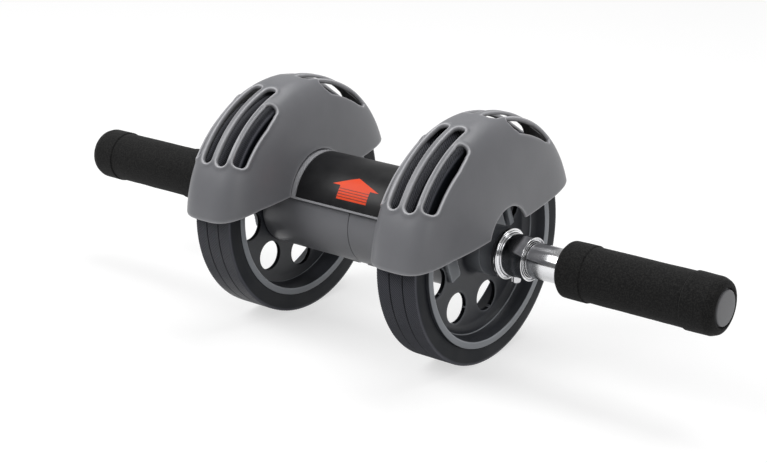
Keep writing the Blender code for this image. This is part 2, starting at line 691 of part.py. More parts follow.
def make_upper_cover(name, material):
    """Arched cover over the barrel, with a raised frame for the label and ribs down to the barrel."""
    inner = COVER_RADIUS - COVER_WALL
    recess = COVER_RADIUS + FRAME_RISE - LABEL_RECESS - LABEL_THICKNESS
    border = COVER_EDGE_ANGLE + FRAME_EDGE_WIDTH / COVER_RADIUS
    half = FRAME_HALF_LENGTH - FRAME_SIDE_WIDTH
    band = cover_band(inner, COVER_RADIUS, COVER_EDGE_ANGLE)
    cover = extruded_along_x(name, band, -COVER_HALF_LENGTH, COVER_HALF_LENGTH, material)
    band = cover_band(inner + COVER_WALL / 2, COVER_RADIUS + FRAME_RISE, COVER_EDGE_ANGLE - COVER_EDGE_STEP)
    join(cover, extruded_along_x(name + "_frame", band, -FRAME_HALF_LENGTH, FRAME_HALF_LENGTH))
    band = cover_band(recess, COVER_RADIUS + CUTTER_REACH, border)
    cut(cover, extruded_along_x(name + "_label_recess", band, -half, half))
    band = cover_band(COVER_RIB_ROOT, inner + COVER_WALL / 2, COVER_EDGE_ANGLE + COVER_EDGE_STEP)
    for i, offset in enumerate((-COVER_RIB_OFFSET, 0.0, COVER_RIB_OFFSET)):
        start, end = offset - COVER_RIB_WIDTH / 2, offset + COVER_RIB_WIDTH / 2
        rib = extruded_along_x("%s_rib_%d" % (name, i + 1), band, start, end)
        middle = Vector((offset, 0, 0))
        reach = Vector((COVER_RIB_WIDTH, 0, 0))
        seat = BARREL_RADIUS + SEAT_GAP
        cut(rib, rod("%s_seat_%d" % (name, i + 1), middle - reach, middle + reach, seat, BARREL_STEPS))
        join(cover, rib)
    return cover


def make_label_panel(name, material):
    """Thin film set in the cover's frame."""
    inner = COVER_RADIUS + FRAME_RISE - LABEL_RECESS - LABEL_THICKNESS + SEAT_GAP
    border = COVER_EDGE_ANGLE + (FRAME_EDGE_WIDTH + SEAT_GAP) / COVER_RADIUS
    half = FRAME_HALF_LENGTH - FRAME_SIDE_WIDTH - SEAT_GAP
    return extruded_along_x(name, cover_band(inner, inner + LABEL_THICKNESS, border), -half, half, material)


def hood_crest(angle):
    """Distance of the hood's ridge from the axle: it swells towards the back."""
    return HOOD_FRONT_RADIUS + HOOD_REAR_SWELL * ((1 + cos(angle)) / 2) ** HOOD_SWELL_POWER


def hood_half_width(angle):
    gain = HOOD_FRONT_HALF_WIDTH - HOOD_REAR_HALF_WIDTH
    return HOOD_REAR_HALF_WIDTH + gain * (1 - cos(angle)) / 2


def hood_point(side, across, radius, angle, lift=0.0):
    """A point of the hood's outer skin, lifted along the normal of its section."""
    width, crest = hood_half_width(angle), hood_crest(angle)
    power = HOOD_SQUARENESS - 1
    slope_x = copysign(abs(across / width) ** power / width, across)
    slope_r = (radius / crest) ** power / crest
    scale = lift / hypot(slope_x, slope_r)
    x = side * (WHEEL_OFFSET - across - slope_x * scale)
    return radial(x, radius + slope_r * scale, angle)


def hood_skin(side, across, angle, lift):
    """The skin's point at this distance from the wheel's mid-plane, lifted off it."""
    share = 1 - abs(across / hood_half_width(angle)) ** HOOD_SQUARENESS
    return hood_point(side, across, hood_crest(angle) * share ** (1 / HOOD_SQUARENESS), angle, lift)


def hood_columns(edges):
    """Distances from the mid-plane at which the grid's columns cross one row, on one side of it."""
    near, far, flank_near, flank_far = (edge * MM for edge in edges)
    return [0.0, near, far, (far + flank_near) / 2, flank_near, flank_far, flank_far + SLOT_LIP]


def hood_vertex(side, column, row):
    """The grid's corner at this column, counted from the mid-plane, and this row."""
    angle, *edges = HOOD_ROWS[row]
    known = hood_columns(edges)
    place = abs(column)
    in_centre = place in (1, 2) and CENTRE_SLOT[0] <= angle <= CENTRE_SLOT[1]
    in_flank = place in (4, 5) and FLANK_SLOT[0] <= angle <= FLANK_SLOT[1]
    angle = radians(angle)
    if place < len(known):
        lift = SLOT_LIP_RISE if in_centre or in_flank else 0.0
        return hood_skin(side, copysign(known[place], column), angle, lift)
    share = known[-1] / hood_half_width(angle)
    first = atan2(share, (1 - share ** HOOD_SQUARENESS) ** (1 / HOOD_SQUARENESS))
    turn = first + (HOOD_SPREAD - first) * (place - len(known) + 1) / HOOD_FLANK_COLUMNS
    scale = (sin(turn) ** HOOD_SQUARENESS + cos(turn) ** HOOD_SQUARENESS) ** (-1 / HOOD_SQUARENESS)
    across = copysign(hood_half_width(angle) * sin(turn) * scale, column)
    return hood_point(side, across, hood_crest(angle) * cos(turn) * scale, angle)


def in_opening(column, row):
    """Tells whether the grid's cell centred here belongs to a slot or a vent."""
    angle = (HOOD_ROWS[int(row)][0] + HOOD_ROWS[int(row) + 1][0]) / 2
    spans = {1: (CENTRE_SLOT, CENTRE_VENT), 4: (FLANK_SLOT, FLANK_VENT)}.get(int(abs(column)), ())
    return any(start < angle < end for start, end in spans)


def make_hood_shell(side, name, material):
    """The hood's wall: squarish sections that follow each other round the axle, with slots and vents."""
    half = len(hood_columns(HOOD_ROWS[0][1:])) - 1 + HOOD_FLANK_COLUMNS
    rows = len(HOOD_ROWS) - 1
    bm = bmesh.new()
    bmesh.ops.create_grid(bm, x_segments=2 * half, y_segments=rows, size=1.0)
    openings = []
    for face in bm.faces:
        centre = face.calc_center_median()
        if in_opening(centre.x * half, (centre.y + 1) / 2 * rows):
            openings.append(face)
    bmesh.ops.delete(bm, geom=openings, context="FACES")
    for vert in bm.verts:
        vert.co = hood_vertex(side, round(vert.co.x * half), round((vert.co.y + 1) / 2 * rows))
    bm.normal_update()
    if max(bm.verts, key=lambda vert: vert.co.z).normal.z < 0:
        bmesh.ops.reverse_faces(bm, faces=bm.faces)
    hood = add_bmesh(name, bm, material)
    wall = hood.modifiers.new("wall", "SOLIDIFY")
    wall.thickness = HOOD_WALL
    wall.offset = -1
    # Flat faces keep the cuts that follow clean.
    hood.modifiers.new("flat_faces", "TRIANGULATE")
    return hood


def wrapped_slab(name, rows, columns, low, high):
    """A closed slab over a patch: rows are (angle, left, right), low and high place its two faces."""
    bm = bmesh.new()
    bmesh.ops.create_grid(bm, x_segments=columns, y_segments=len(rows) - 1, size=1.0)
    copied = bmesh.ops.extrude_face_region(bm, geom=bm.faces[:])["geom"]
    for item in copied:
        if isinstance(item, bmesh.types.BMVert):
            item.co.z = 1.0
    for vert in bm.verts:
        angle, left, right = rows[round((vert.co.y + 1) / 2 * (len(rows) - 1))]
        across = left + (right - left) * (vert.co.x + 1) / 2
        place = high if vert.co.z > 0.5 else low
        vert.co = place(across, angle)
    bmesh.ops.triangulate(bm, faces=bm.faces)
    bmesh.ops.recalc_face_normals(bm, faces=bm.faces)
    if bm.calc_volume(signed=True) < 0:
        bmesh.ops.reverse_faces(bm, faces=bm.faces)
    return add_bmesh(name, bm)


def make_saddle(side, name):
    """A flange inside the hood that lies over the end of the upper cover."""
    rows = []
    for i in range(SADDLE_STEPS + 1):
        angle = SADDLE_START + (SADDLE_END - SADDLE_START) * i / SADDLE_STEPS
        spot = radial(0.0, SADDLE_RADIUS, angle, COVER_RISE)
        flank = WHEEL_OFFSET - hood_half_width(atan2(spot.z, spot.y)) + SADDLE_BITE
        rows.append((angle, flank, SADDLE_REACH))

    def inner(x, angle):
        return radial(side * x, SADDLE_BORE, angle, COVER_RISE)

    def outer(x, angle):
        return radial(side * x, SADDLE_RADIUS, angle, COVER_RISE)

    return wrapped_slab(name, rows, 1, inner, outer)


def make_arch_cutters(side, name):
    """Cutters of the hood's inner arch, round the upper cover, and of its outer arch, round the axle."""
    frame = FRAME_HALF_LENGTH + SEAT_GAP
    over_frame = ARCH_RADIUS + FRAME_RISE
    inner_end = WHEEL_OFFSET - HOOD_FRONT_HALF_WIDTH - HOOD_WALL
    outer_end = WHEEL_OFFSET + HOOD_FRONT_HALF_WIDTH + HOOD_WALL
    profile = [(WHEEL_OFFSET, 0.0), (WHEEL_OFFSET, ARCH_RADIUS), (frame, ARCH_RADIUS)]
    profile += [(frame, over_frame), (inner_end, over_frame), (inner_end, 0.0)]
    inner = turned(name + "_inner_arch", mirrored(profile, side), BARREL_STEPS, origin=raised(COVER_RISE))
    start, end = Vector((side * WHEEL_OFFSET, 0, 0)), Vector((side * outer_end, 0, 0))
    outer = rod(
        name + "_outer_arch", start, end, OUTER_ARCH_RADIUS, BARREL_STEPS, origin=raised(OUTER_ARCH_RISE)
    )
    return inner, outer


def make_hood(side, name, material):
    hood = make_hood_shell(side, name, material)
    below = -HOOD_FRONT_RADIUS
    outline = list(HOOD_EDGE) + [(HOOD_EDGE[-1][0], below), (HOOD_EDGE[0][0], below)]
    start = side * (WHEEL_OFFSET - 2 * HOOD_FRONT_HALF_WIDTH)
    end = side * (WHEEL_OFFSET + 2 * HOOD_FRONT_HALF_WIDTH)
    cut(hood, extruded_along_x(name + "_edge", outline, start, end))
    cut(hood, *make_arch_cutters(side, name))
    join(hood, make_saddle(side, name + "_saddle"))
    return hood


def make_handle_tube(side, name, material):
    start, end = side * HANDLE_START, side * HANDLE_END
    return ring(name, start, end, HANDLE_BORE, HANDLE_RADIUS, TUBE_STEPS, material)


def make_grip(side, name, material):
    """Foam sleeve with a thicker band at each end and a well for the end cap."""
    bore = HANDLE_RADIUS + SEAT_GAP
    well = CAP_FACE - CAP_THICKNESS - 2 * SEAT_GAP
    height = GRIP_ROUNDING_HEIGHT
    base = GRIP_BAND_RADIUS - height
    profile = corner(GRIP_END - GRIP_OUTER_ROUNDING, base, GRIP_OUTER_ROUNDING, height, 0, 90, 3)
    profile += [(GRIP_OUTER_BAND_START, GRIP_BAND_RADIUS), (GRIP_OUTER_BAND_START - GRIP_STEP, GRIP_RADIUS)]
    profile += [(GRIP_INNER_BAND_END + GRIP_STEP, GRIP_RADIUS), (GRIP_INNER_BAND_END, GRIP_BAND_RADIUS)]
    profile += corner(GRIP_START + GRIP_INNER_ROUNDING, base, GRIP_INNER_ROUNDING, height, 90, 180, 3)
    profile += [(GRIP_START, bore), (well, bore), (well, GRIP_WELL_RADIUS), (GRIP_END, GRIP_WELL_RADIUS)]
    return turned(name, mirrored(profile, side), TUBE_STEPS, material)


def make_end_cap(side, name, material):
    """A round plug in the handle tube with a flat face."""
    seat = CAP_FACE - CAP_THICKNESS
    profile = [(CAP_FACE, 0.0), (CAP_FACE, CAP_RADIUS - CAP_CHAMFER), (CAP_FACE - CAP_CHAMFER, CAP_RADIUS)]
    profile += [(seat, CAP_RADIUS), (seat, CAP_PLUG_RADIUS), (seat - CAP_PLUG_LENGTH, CAP_PLUG_RADIUS)]
    profile += [(seat - CAP_PLUG_LENGTH, 0.0)]
    return turned(name, mirrored(profile, side), TUBE_STEPS, material)


def button_hole(side, name):
    """A hole through the lower walls of the axle tube and the handle tube."""
    start = Vector((side * BUTTON_OFFSET, 0, -BUTTON_HEAD_TOP))
    end = Vector((side * BUTTON_OFFSET, 0, -BUTTON_REACH))
    return rod(name, start, end, BUTTON_RADIUS + BUTTON_HOLE_CLEARANCE)


def make_snap_button(side, name, material):
    """A pin with a chamfered tip and a head that stays inside the handle tube."""
    origin = AXLE_CENTRE + Vector((side * BUTTON_OFFSET, 0, 0))
    top = Vector((0, 0, -BUTTON_HEAD_TOP))
    shoulder = Vector((0, 0, -BUTTON_HEAD_TOP - BUTTON_HEAD_THICKNESS))
    tip = Vector((0, 0, -BUTTON_REACH))
    button = rod(name, (top + shoulder) / 2, tip, BUTTON_RADIUS, material=material, origin=origin)
    chamfer = button.modifiers.new("chamfer", "BEVEL")
    chamfer.width = BUTTON_CHAMFER
    chamfer.segments = 1
    chamfer.limit_method = "ANGLE"
    join(button, rod(name + "_head", top, shoulder, BUTTON_HEAD_RADIUS, origin=origin))
    return button


def strip_outline(path, thickness):
    """The outline of a thin strip that is centred on a path."""
    left, right = [], []
    for i, (x, z) in enumerate(path):
        (x0, z0), (x1, z1) = path[max(i - 1, 0)], path[min(i + 1, len(path) - 1)]
        length = hypot(x1 - x0, z1 - z0)
        offset_x, offset_z = -(z1 - z0) / length * thickness / 2, (x1 - x0) / length * thickness / 2
        left.append((x + offset_x, z + offset_z))
        right.append((x - offset_x, z - offset_z))
    return left + right[::-1]


def make_button_spring(side, name, material):
    """A V of spring strip: its lower leg lies on the button's head, its upper leg under the tube's top."""
    leg = SEAT_GAP + STRIP_THICKNESS / 2 - BUTTON_HEAD_TOP
    centre = (BUTTON_OFFSET - STRIP_BEND_OFFSET, leg + STRIP_BEND)
    path = [(BUTTON_OFFSET + STRIP_PAST_BUTTON, leg)]
    finish = radians(90) + STRIP_SLOPE
    start = radians(270)
    for i in range(STRIP_BEND_STEPS + 1):
        angle = start + (finish - start) * i / STRIP_BEND_STEPS
        path.append((centre[0] + STRIP_BEND * cos(angle), centre[1] + STRIP_BEND * sin(angle)))
    rise = STRIP_TOP - STRIP_THICKNESS / 2 - path[-1][1]
    foot = (path[-1][0] + rise / tan(STRIP_SLOPE), path[-1][1] + rise)
    path += [foot, (foot[0] + STRIP_PAST_BUTTON, foot[1])]
    outline = [(side * x, z) for x, z in strip_outline(path, STRIP_THICKNESS)]
    place = Matrix(((1, 0, 0, 0), (0, 0, -1, 0), (0, 1, 0, 0), (0, 0, 0, 1)))
    return extruded(name, outline, STRIP_WIDTH, place, material)


def add_barrel_screws(parts, material):
    """Four radial screws that hold the two barrel halves to the anchor."""
    number = 0
    for side, label in SIDES:
        for turn in (-1, 1):
            number += 1
            name = "barrel_screw_%d" % number
            angle = radians(-90) + turn * BARREL_SCREW_ANGLE
            x = side * BARREL_SCREW_OFFSET
            inward = -radial(0.0, 1.0, angle)
            seat = radial(x, BARREL_SCREW_SEAT + SEAT_GAP, angle)
            floor = radial(x, BARREL_SCREW_SEAT, angle)
            outside = radial(x, BARREL_SCREW_SEAT + CUTTER_REACH, angle)
            end = seat + inward * (BARREL_SCREW_LENGTH + SEAT_GAP)
            shaft = rod(name + "_hole", outside, end, SCREW_HOLE)
            sink = rod(name + "_sink", outside, floor, SCREW_HEAD_RADIUS + SEAT_GAP)
            cut(parts["barrel_" + label], shaft, sink)
            cut(parts["spring_anchor"], shaft)
            make_screw(
                name, seat, inward, BARREL_SCREW_LENGTH,
                SCREW_RADIUS, SCREW_HEAD_RADIUS, SCREW_HEAD_HEIGHT, material,
            )


def add_hood_screws(parts, material):
    """Two screws in each hood's saddle, through the upper cover and into the barrel."""
    number = 0
    for side, label in SIDES:
        for turn in (-1, 1):
            number += 1
            name = "hood_screw_%d" % number
            angle = radians(90) + turn * HOOD_SCREW_ANGLE
            x = side * COVER_RIB_OFFSET
            inward = -radial(0.0, 1.0, angle)
            seat = radial(x, SADDLE_RADIUS + SEAT_GAP, angle, COVER_RISE)
            end = seat + inward * (HOOD_SCREW_LENGTH + HOLE_RUN_OUT)
            shaft = rod(name + "_hole", seat, end, SCREW_HOLE)
            cut(parts[label + "_hood"], shaft)
            cut(parts["upper_cover"], shaft)
            cut(parts["barrel_" + label], shaft)
            make_screw(
                name, seat, inward, HOOD_SCREW_LENGTH,
                SCREW_RADIUS, HOOD_SCREW_HEAD_RADIUS, SCREW_HEAD_HEIGHT, material,
            )


def add_drive_screws(materials):
    for side, label in SIDES:
        for i in range(DRIVE_SCREWS):
            make_screw(
                "%s_drive_screw_%d" % (label, i + 1), drive_screw_seat(side, i), Vector((side, 0, 0)),
                DRIVE_SCREW_LENGTH, SMALL_SCREW_RADIUS, SMALL_SCREW_HEAD_RADIUS, SMALL_SCREW_HEAD_HEIGHT,
                materials["steel"],
            )


def add_wheel(side, label, phase, materials):
    make_wheel(side, label + "_wheel", phase, materials["wheel"])
    make_tyre(side, label + "_tyre", materials["rubber"])
    make_outer_bush(side, label + "_outer_bush", materials["nylon"])
    make_inner_bush(side, label + "_inner_bush", materials["nylon"])
    make_drive_hub(side, label + "_drive_hub", materials["wheel"])
    make_return_spring(side, label + "_return_spring", materials["spring"])


def add_handle(side, label, axle_tube, materials):
    tube = make_handle_tube(side, label + "_handle_tube", materials["chrome"])
    hole = button_hole(side, label + "_button_hole")
    cut(tube, hole)
    cut(axle_tube, hole)
    make_grip(side, label + "_grip", materials["foam"])
    make_end_cap(side, label + "_end_cap", materials["cap"])
    make_snap_button(side, label + "_snap_button", materials["steel"])
    make_button_spring(side, label + "_button_spring", materials["spring"])
    make_collar(side, label + "_collar", materials["chrome"])
    make_retaining_ring(side, label + "_retaining_ring", materials["steel"])


def build():
    clear_scene()
    make_collections()
    materials = make_materials()
    parts = {
        "spring_anchor": make_anchor("spring_anchor", materials["wheel"]),
        "upper_cover": make_upper_cover("upper_cover", materials["hood"]),
    }
    axle_tube = make_axle_tube("axle_tube", materials["chrome"])
    reach = Vector((0, ANCHOR_WAIST_RADIUS, 0))
    pin_hole = rod("anchor_pin_hole", -reach, reach, PIN_RADIUS + SEAT_GAP)
    cut(parts["spring_anchor"], pin_hole)
    cut(axle_tube, pin_hole)
    pin_end = Vector((0, ANCHOR_WAIST_RADIUS - PIN_INSET, 0))
    rod("anchor_pin", -pin_end, pin_end, PIN_RADIUS, material=materials["steel"])
    make_label_panel("label_panel", materials["label"])
    for side, label in SIDES:
        parts["barrel_" + label] = make_barrel_half(side, "barrel_" + label, materials["hood"])
        parts[label + "_hood"] = make_hood(side, label + "_hood", materials["hood"])
        phase = RIGHT_HOLE_PHASE if side > 0 else LEFT_HOLE_PHASE
        add_wheel(side, label, phase, materials)
        add_handle(side, label, axle_tube, materials)
    add_barrel_screws(parts, materials["steel"])
    add_hood_screws(parts, materials["steel"])
    add_drive_screws(materials)


build()
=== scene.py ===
"""Looks of the ab roller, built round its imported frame.

X runs along the axle, the user kneels on the -Y side, and Z is up. Sizes are in metres, apart from
the lines and outlines said to be in millimetres. The outline of a turned piece is a row of
(distance along the axle, radius, rounding) in millimetres. Angles run about the axle from +Y.
"""
import json
from functools import partial
from math import atan2, ceil, cos, hypot, pi, radians, sin, tan

import bmesh
import bpy
import numpy as np
from mathutils import Matrix, Vector, noise

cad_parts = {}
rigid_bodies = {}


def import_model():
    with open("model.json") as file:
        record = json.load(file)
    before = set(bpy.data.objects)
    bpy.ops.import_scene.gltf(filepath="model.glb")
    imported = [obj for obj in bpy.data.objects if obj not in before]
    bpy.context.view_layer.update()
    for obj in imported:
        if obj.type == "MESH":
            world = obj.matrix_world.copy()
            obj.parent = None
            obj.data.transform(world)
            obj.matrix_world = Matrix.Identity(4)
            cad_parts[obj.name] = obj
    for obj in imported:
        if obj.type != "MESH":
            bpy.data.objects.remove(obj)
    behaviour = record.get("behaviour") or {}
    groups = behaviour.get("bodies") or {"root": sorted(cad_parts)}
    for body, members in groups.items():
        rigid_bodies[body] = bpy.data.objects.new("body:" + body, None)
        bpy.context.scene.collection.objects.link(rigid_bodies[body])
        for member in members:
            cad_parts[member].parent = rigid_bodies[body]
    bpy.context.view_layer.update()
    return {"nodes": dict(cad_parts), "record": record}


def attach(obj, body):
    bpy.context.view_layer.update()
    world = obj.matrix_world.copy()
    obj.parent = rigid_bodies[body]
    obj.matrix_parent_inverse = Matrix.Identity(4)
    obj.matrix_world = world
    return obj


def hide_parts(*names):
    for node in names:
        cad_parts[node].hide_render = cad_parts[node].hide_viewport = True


for leftover in list(bpy.data.objects):
    bpy.data.objects.remove(leftover, do_unlink=True)
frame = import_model()

MM = 0.001
AXLE = Vector((0.0, 0.0, 0.085))
SIDES = ((-1, "left"), (1, "right"))

# The camera, fitted to the photograph
CAMERA_PLACE = (0.76983, -0.94857, 0.49023)
CAMERA_YAW = radians(38.82)
CAMERA_PITCH = radians(18.74)
CAMERA_LENS = 82.2

# Hoods
WHEEL_OFFSET = 0.0871
HOOD_FRONT_RADIUS = 0.0930
HOOD_REAR_SWELL = 0.0100
HOOD_SWELL_POWER = 3
HOOD_FRONT_HALF_WIDTH = 0.0345
HOOD_REAR_HALF_WIDTH = 0.0290
HOOD_SQUARENESS = 3.4
HOOD_SPREAD = radians(76)
HOOD_WALL = 0.0026
HOOD_START = radians(4)
HOOD_END = radians(184)
HOOD_CELL = 0.0018
# The lower edge as (y, height over the axle)
HOOD_EDGE = (
    (-0.120, 0.0028), (-0.093, 0.0048), (-0.064, 0.0118), (-0.028, 0.0158),
    (0.030, 0.0204), (0.103, 0.0300), (0.130, 0.0336),
)
# The outer and the inner arch as (radius, height of the centre over the axle)
ARCHES = ((0.0266, 0.0070), (0.0349, 0.0084))
# Openings as (angle in degrees, distance from the mid-plane in millimetres)
SLOTS = (
    ((103.9, 2.4), (103.9, 11.3), (151.0, 11.3), (151.0, 2.4)),
    ((112.9, 16.2), (112.9, 20.4), (117.5, 22.5), (125.0, 23.5), (149.2, 23.4), (149.2, 15.3),
     (118.0, 15.1)),
)
VENTS = (
    ((41.5, 8.0), (41.5, 10.6), (48.0, 12.6), (59.5, 13.2), (74.0, 13.4), (86.0, 13.6), (88.6, 10.8),
     (88.6, 3.8), (86.0, 2.8), (74.0, 2.8), (59.5, 3.4), (48.0, 4.6)),
    ((44.5, 18.3), (45.2, 20.6), (50.5, 22.1), (60.3, 22.8), (69.2, 23.1), (74.9, 23.2), (79.0, 21.4),
     (81.4, 18.0), (80.2, 15.4), (70.2, 15.3), (59.5, 15.4), (48.5, 16.4)),
)
SLOT_ROUNDING = 0.0042
VENT_ROUNDING = 0.0008
# How far the slots, and each hood's vents, lie toward the barrel and forward of the lists above
SLOT_SHIFT = (0.0009, 0.0)
VENT_SHIFTS = {1: (0.0, 0.0), -1: (-0.0004, radians(-2.9))}
# The rib behind each bar between two vents
RIB_PLACE = 0.0146
RIB_HALF_WIDTH = 0.0018
RIB_DEPTH = 0.0009
RIB_SPAN = (radians(40), radians(92))
RIB_FADE = 0.05
# The raised lip round a slot and the softened edges, with the widths of the painted highlights along them
LIP_RISE = 0.0008
LIP_CREST = 0.0014
LIP_REACH = 0.0040
LIP_HIGHLIGHT = 0.0006
EDGE_ROUNDING = 0.0006
EDGE_HIGHLIGHT = 0.0009
# Distances from a slot, and from any other edge, at which the mesh has a line of points, in millimetres
LIP_CONTOURS = (0.15, 0.45, 0.9, 1.4, 2.2, 3.2)
EDGE_CONTOURS = (0.2, 0.6, 1.1)

# Upper cover, whose axis lies this far over the axle
COVER_RISE = 0.0084
COVER_EDGE = radians(10.2)
COVER_BORDER = radians(2.5)
COVER_INNER = 0.0319
# In millimetres: radii of its top, frame and recess, and half the length of the frame and the recess
COVER_TOP, FRAME_TOP, RECESS_TOP = 34.0, 34.6, 33.5
FRAME_HALF, RECESS_HALF = 53.7, 49.55
# Where the raised frame gets a painted highlight: over this radius, between these distances from the middle
FRAME_HIGHLIGHT_RADIUS = 0.0343
FRAME_HIGHLIGHT_ENDS = (0.0496, 0.0539)
FRAME_HIGHLIGHT = 0.62
# The cover's ribs: places along the axle and half their width in millimetres, radii and end
COVER_RIBS = (-63.3, 0.0, 63.3)
COVER_RIB_HALF = 3.5
COVER_RIB_RADII = (0.0322, 0.0334)
COVER_RIB_END = 0.02
# The hoods' saddles on the cover
SADDLE_RADII = (0.0344, 0.0368)
SADDLE_MIDDLE = 0.0356
SADDLE_BITE = 0.0016
SADDLE_END = 0.067
SADDLE_SPAN = (radians(25), radians(165))

# Wheels
HOLE_PHASES = {1: radians(-113.5), -1: radians(-121.5)}
HOLE_COUNT = 8
HOLE_RADIUS = 0.0113
HOLE_CIRCLE = 0.0467
HOLE_CONTOURS = (0.12, 0.35, 0.8)
HOLE_EDGE_REACH = 0.0008
HOLE_EDGE_DROP = 0.0007
# Painted highlight round the holes' edges: how much, and how far it reaches
HOLE_HIGHLIGHT = 0.35
HOLE_HIGHLIGHT_REACH = 0.0007
WEB_OUTER = 0.0880
WEB_INNER = 0.0843
WEB_START = 0.0232
WEB_END = 0.0592
WHEEL_STEPS = 288
# The two raised pads beside the hub, and the bar across the hole beyond the second of them
PAD_HOLES = (-1, 3)
PAD_MIDDLE = 0.02905
PAD_HALF_DEPTH = 0.00525
PAD_HALF_WIDTH = 0.00825
PAD_ROUNDING = 0.0008
PAD_RISE = 0.0035
PAD_DRAFT = 0.0004
PAD_CONTOURS = (-1.0, -0.4, 0.0, 0.4)
PAD_EDGE_START = 0.0010
PAD_EDGE_REACH = 0.0006
PAD_EDGE_DROP = 0.0003
# Painted highlights on the pads' edges and tops, how far the edge's reaches and where it stops
PAD_EDGE_HIGHLIGHT = 0.9
PAD_TOP_HIGHLIGHT = 0.45
PAD_HIGHLIGHT_REACH = 0.0006
PAD_HIGHLIGHT_END = 0.0002
BAR_SECTION = (
    (0.0862, 0.0394, 0, 1), (0.0912, 0.0394, -1, 1), (0.0915, 0.0398, -1, 1),
    (0.0915, 0.0438, -1, -1), (0.0912, 0.0442, -1, -1), (0.0862, 0.0442, 0, -1),
)
BAR_STATIONS = ((-0.0116, 0.0005), (-0.0110, 0.0), (0.0110, 0.0), (0.0116, 0.0005))
# Open lines of the moulding as (distance along the axle, radius), in millimetres
HUB_LINE = (
    (88.0, 23.2), (88.4, 21.6), (89.5, 19.7), (91.0, 18.6), (92.8, 18.1), (105.7, 18.1), (105.9, 17.85),
    (106.5, 17.85), (106.7, 18.1), (115.3, 18.1), (115.8, 17.9), (116.0, 17.4), (116.0, 17.0),
    (104.0, 17.0), (104.0, 16.1), (96.3, 16.1), (96.3, 17.0), (84.3, 17.0), (84.3, 23.2),
)
RIM_LINE = (
    (88.0, 59.2), (88.1, 60.0), (88.36, 60.7), (89.2, 62.05), (90.6, 63.2), (92.2, 64.0), (92.45, 64.1),
    (92.75, 64.15), (92.95, 64.4), (93.05, 64.7), (93.3, 64.95), (98.0, 66.0), (103.2, 67.15),
    (103.5, 67.25), (103.8, 67.5), (103.9, 67.9), (103.9, 68.4), (103.9, 71.6), (103.75, 72.05),
    (103.3, 72.2), (69.0, 72.2), (68.65, 72.05), (68.5, 71.6), (68.5, 68.4), (68.5, 67.9),
    (68.65, 67.5), (68.95, 67.25), (69.3, 67.2), (76.0, 66.4), (82.9, 65.55), (83.3, 65.45),
    (83.5, 65.2), (83.85, 65.15), (84.1, 65.1), (84.3, 64.7), (84.3, 59.2),
)
# Painted highlights on the rim's lips, the web's corner lines, the bar and the hub's ring line: from and to
# along the axle, from and to in radius, in millimetres, and how much lighter
WHEEL_HIGHLIGHTS = (
    (103.45, 104.0, 67.2, 68.0, 1.0), (68.4, 69.0, 67.2, 68.0, 1.0),
    (103.4, 104.0, 68.0, 72.1, 0.72), (68.4, 69.0, 68.0, 72.1, 0.72),
    (92.4, 93.0, 64.05, 64.45, 0.75), (83.4, 83.9, 65.1, 65.3, 0.6),
    (90.5, 91.6, 38.5, 47.0, 0.9), (105.5, 106.9, 17.0, 18.2, 0.5),
)

# Tyres, in millimetres apart from the inset
TYRE_INSET = 0.0020
TYRE_CROWN = 85.0
TYRE_GROOVE = 83.8
TYRE_BANDS = ((-16.0, -6.25), (-4.95, 4.95), (6.25, 16.0))
TYRE_WALL = ((16.55, 83.9, 0.0), (16.8, 82.4, 0.9), (16.7, 76.0, 1.0), (16.3, 72.5, 0.0))
# A band's shoulder beyond and below its last knurl, and the groove's middle beyond it
TYRE_SHOULDER = (0.25, 0.45)
GROOVE_MIDDLE = 0.65
BAND_POINTS = 7
KNURLS = 264
KNURL_DEPTH = 0.36
KNURL_LEAN = 0.9
# How much painted highlight a knurl's crest, the dip between two and the shoulder get, and where the
# shoulder's starts
CREST_HIGHLIGHT = 0.36
DIP_HIGHLIGHT = 0.12
SHOULDER_HIGHLIGHT = 0.55
HIGHLIT_SHOULDER = (16.1, 83.0)

# Turned outlines in millimetres, and steps round them
ROUND_STEPS, CAP_STEPS, BARREL_STEPS = 128, 96, 160
AXLE_END = [
    (138.3, 15.2, 0.1), (138.45, 15.5, 0.15), (139.0, 15.5, 0.3), (139.0, 14.95, 0.1), (136.4, 14.8, 0.1),
    (136.4, 13.6, 0.1), (138.9, 13.5, 0.2), (138.9, 12.95, 0.2),
]
HANDLE_TUBE = [(95.0, 11.1, 0.2), (95.0, 12.5, 0.4), (284.0, 12.5, 0.2), (284.0, 11.1, 0.2)]
COLLAR = [
    (117.5, 15.5, 0.1), (117.5, 18.2, 1.2), (120.2, 18.2, 1.3), (120.2, 17.0, 0.0), (121.3, 16.8, 0.5),
    (121.3, 15.5, 0.2),
]
END_CAP = [
    (287.3, 0.0, 0.0), (287.3, 12.3, 1.0), (285.0, 12.3, 0.0), (284.8, 12.8, 0.0), (284.3, 12.8, 0.1),
    (284.3, 10.8, 0.2), (268.3, 10.8, 0.8), (268.3, 0.0, 0.0),
]
GRIP = [
    (165.5, 12.8, 0.3), (165.5, 14.2, 0.5), (167.3, 17.3, 2.0), (169.7, 19.8, 2.6), (187.3, 19.95, 0.4),
    (188.0, 19.1, 0.1), (188.7, 19.15, 0.6), (262.4, 19.15, 0.6), (263.0, 19.1, 0.1), (263.7, 19.95, 0.4),
    (280.6, 19.8, 5.0), (285.2, 18.0, 3.0), (286.8, 14.6, 0.8), (286.5, 13.5, 0.2), (284.0, 13.4, 0.0),
    (284.0, 12.8, 0.0),
]
BARREL = [(0.2, 30.1, 0.2), (0.2, 33.1, 0.35), (83.2, 33.1, 0.5), (83.2, 30.1, 0.2)]
# The grip's unevenness as (length of a wave, height), and the radius under which it has none
GRIP_WAVE = (14.0, 0.16)
GRIP_GRAIN = (0.9, 0.05)
GRIP_CELL = 1.2
GRIP_INSIDE = 13.6

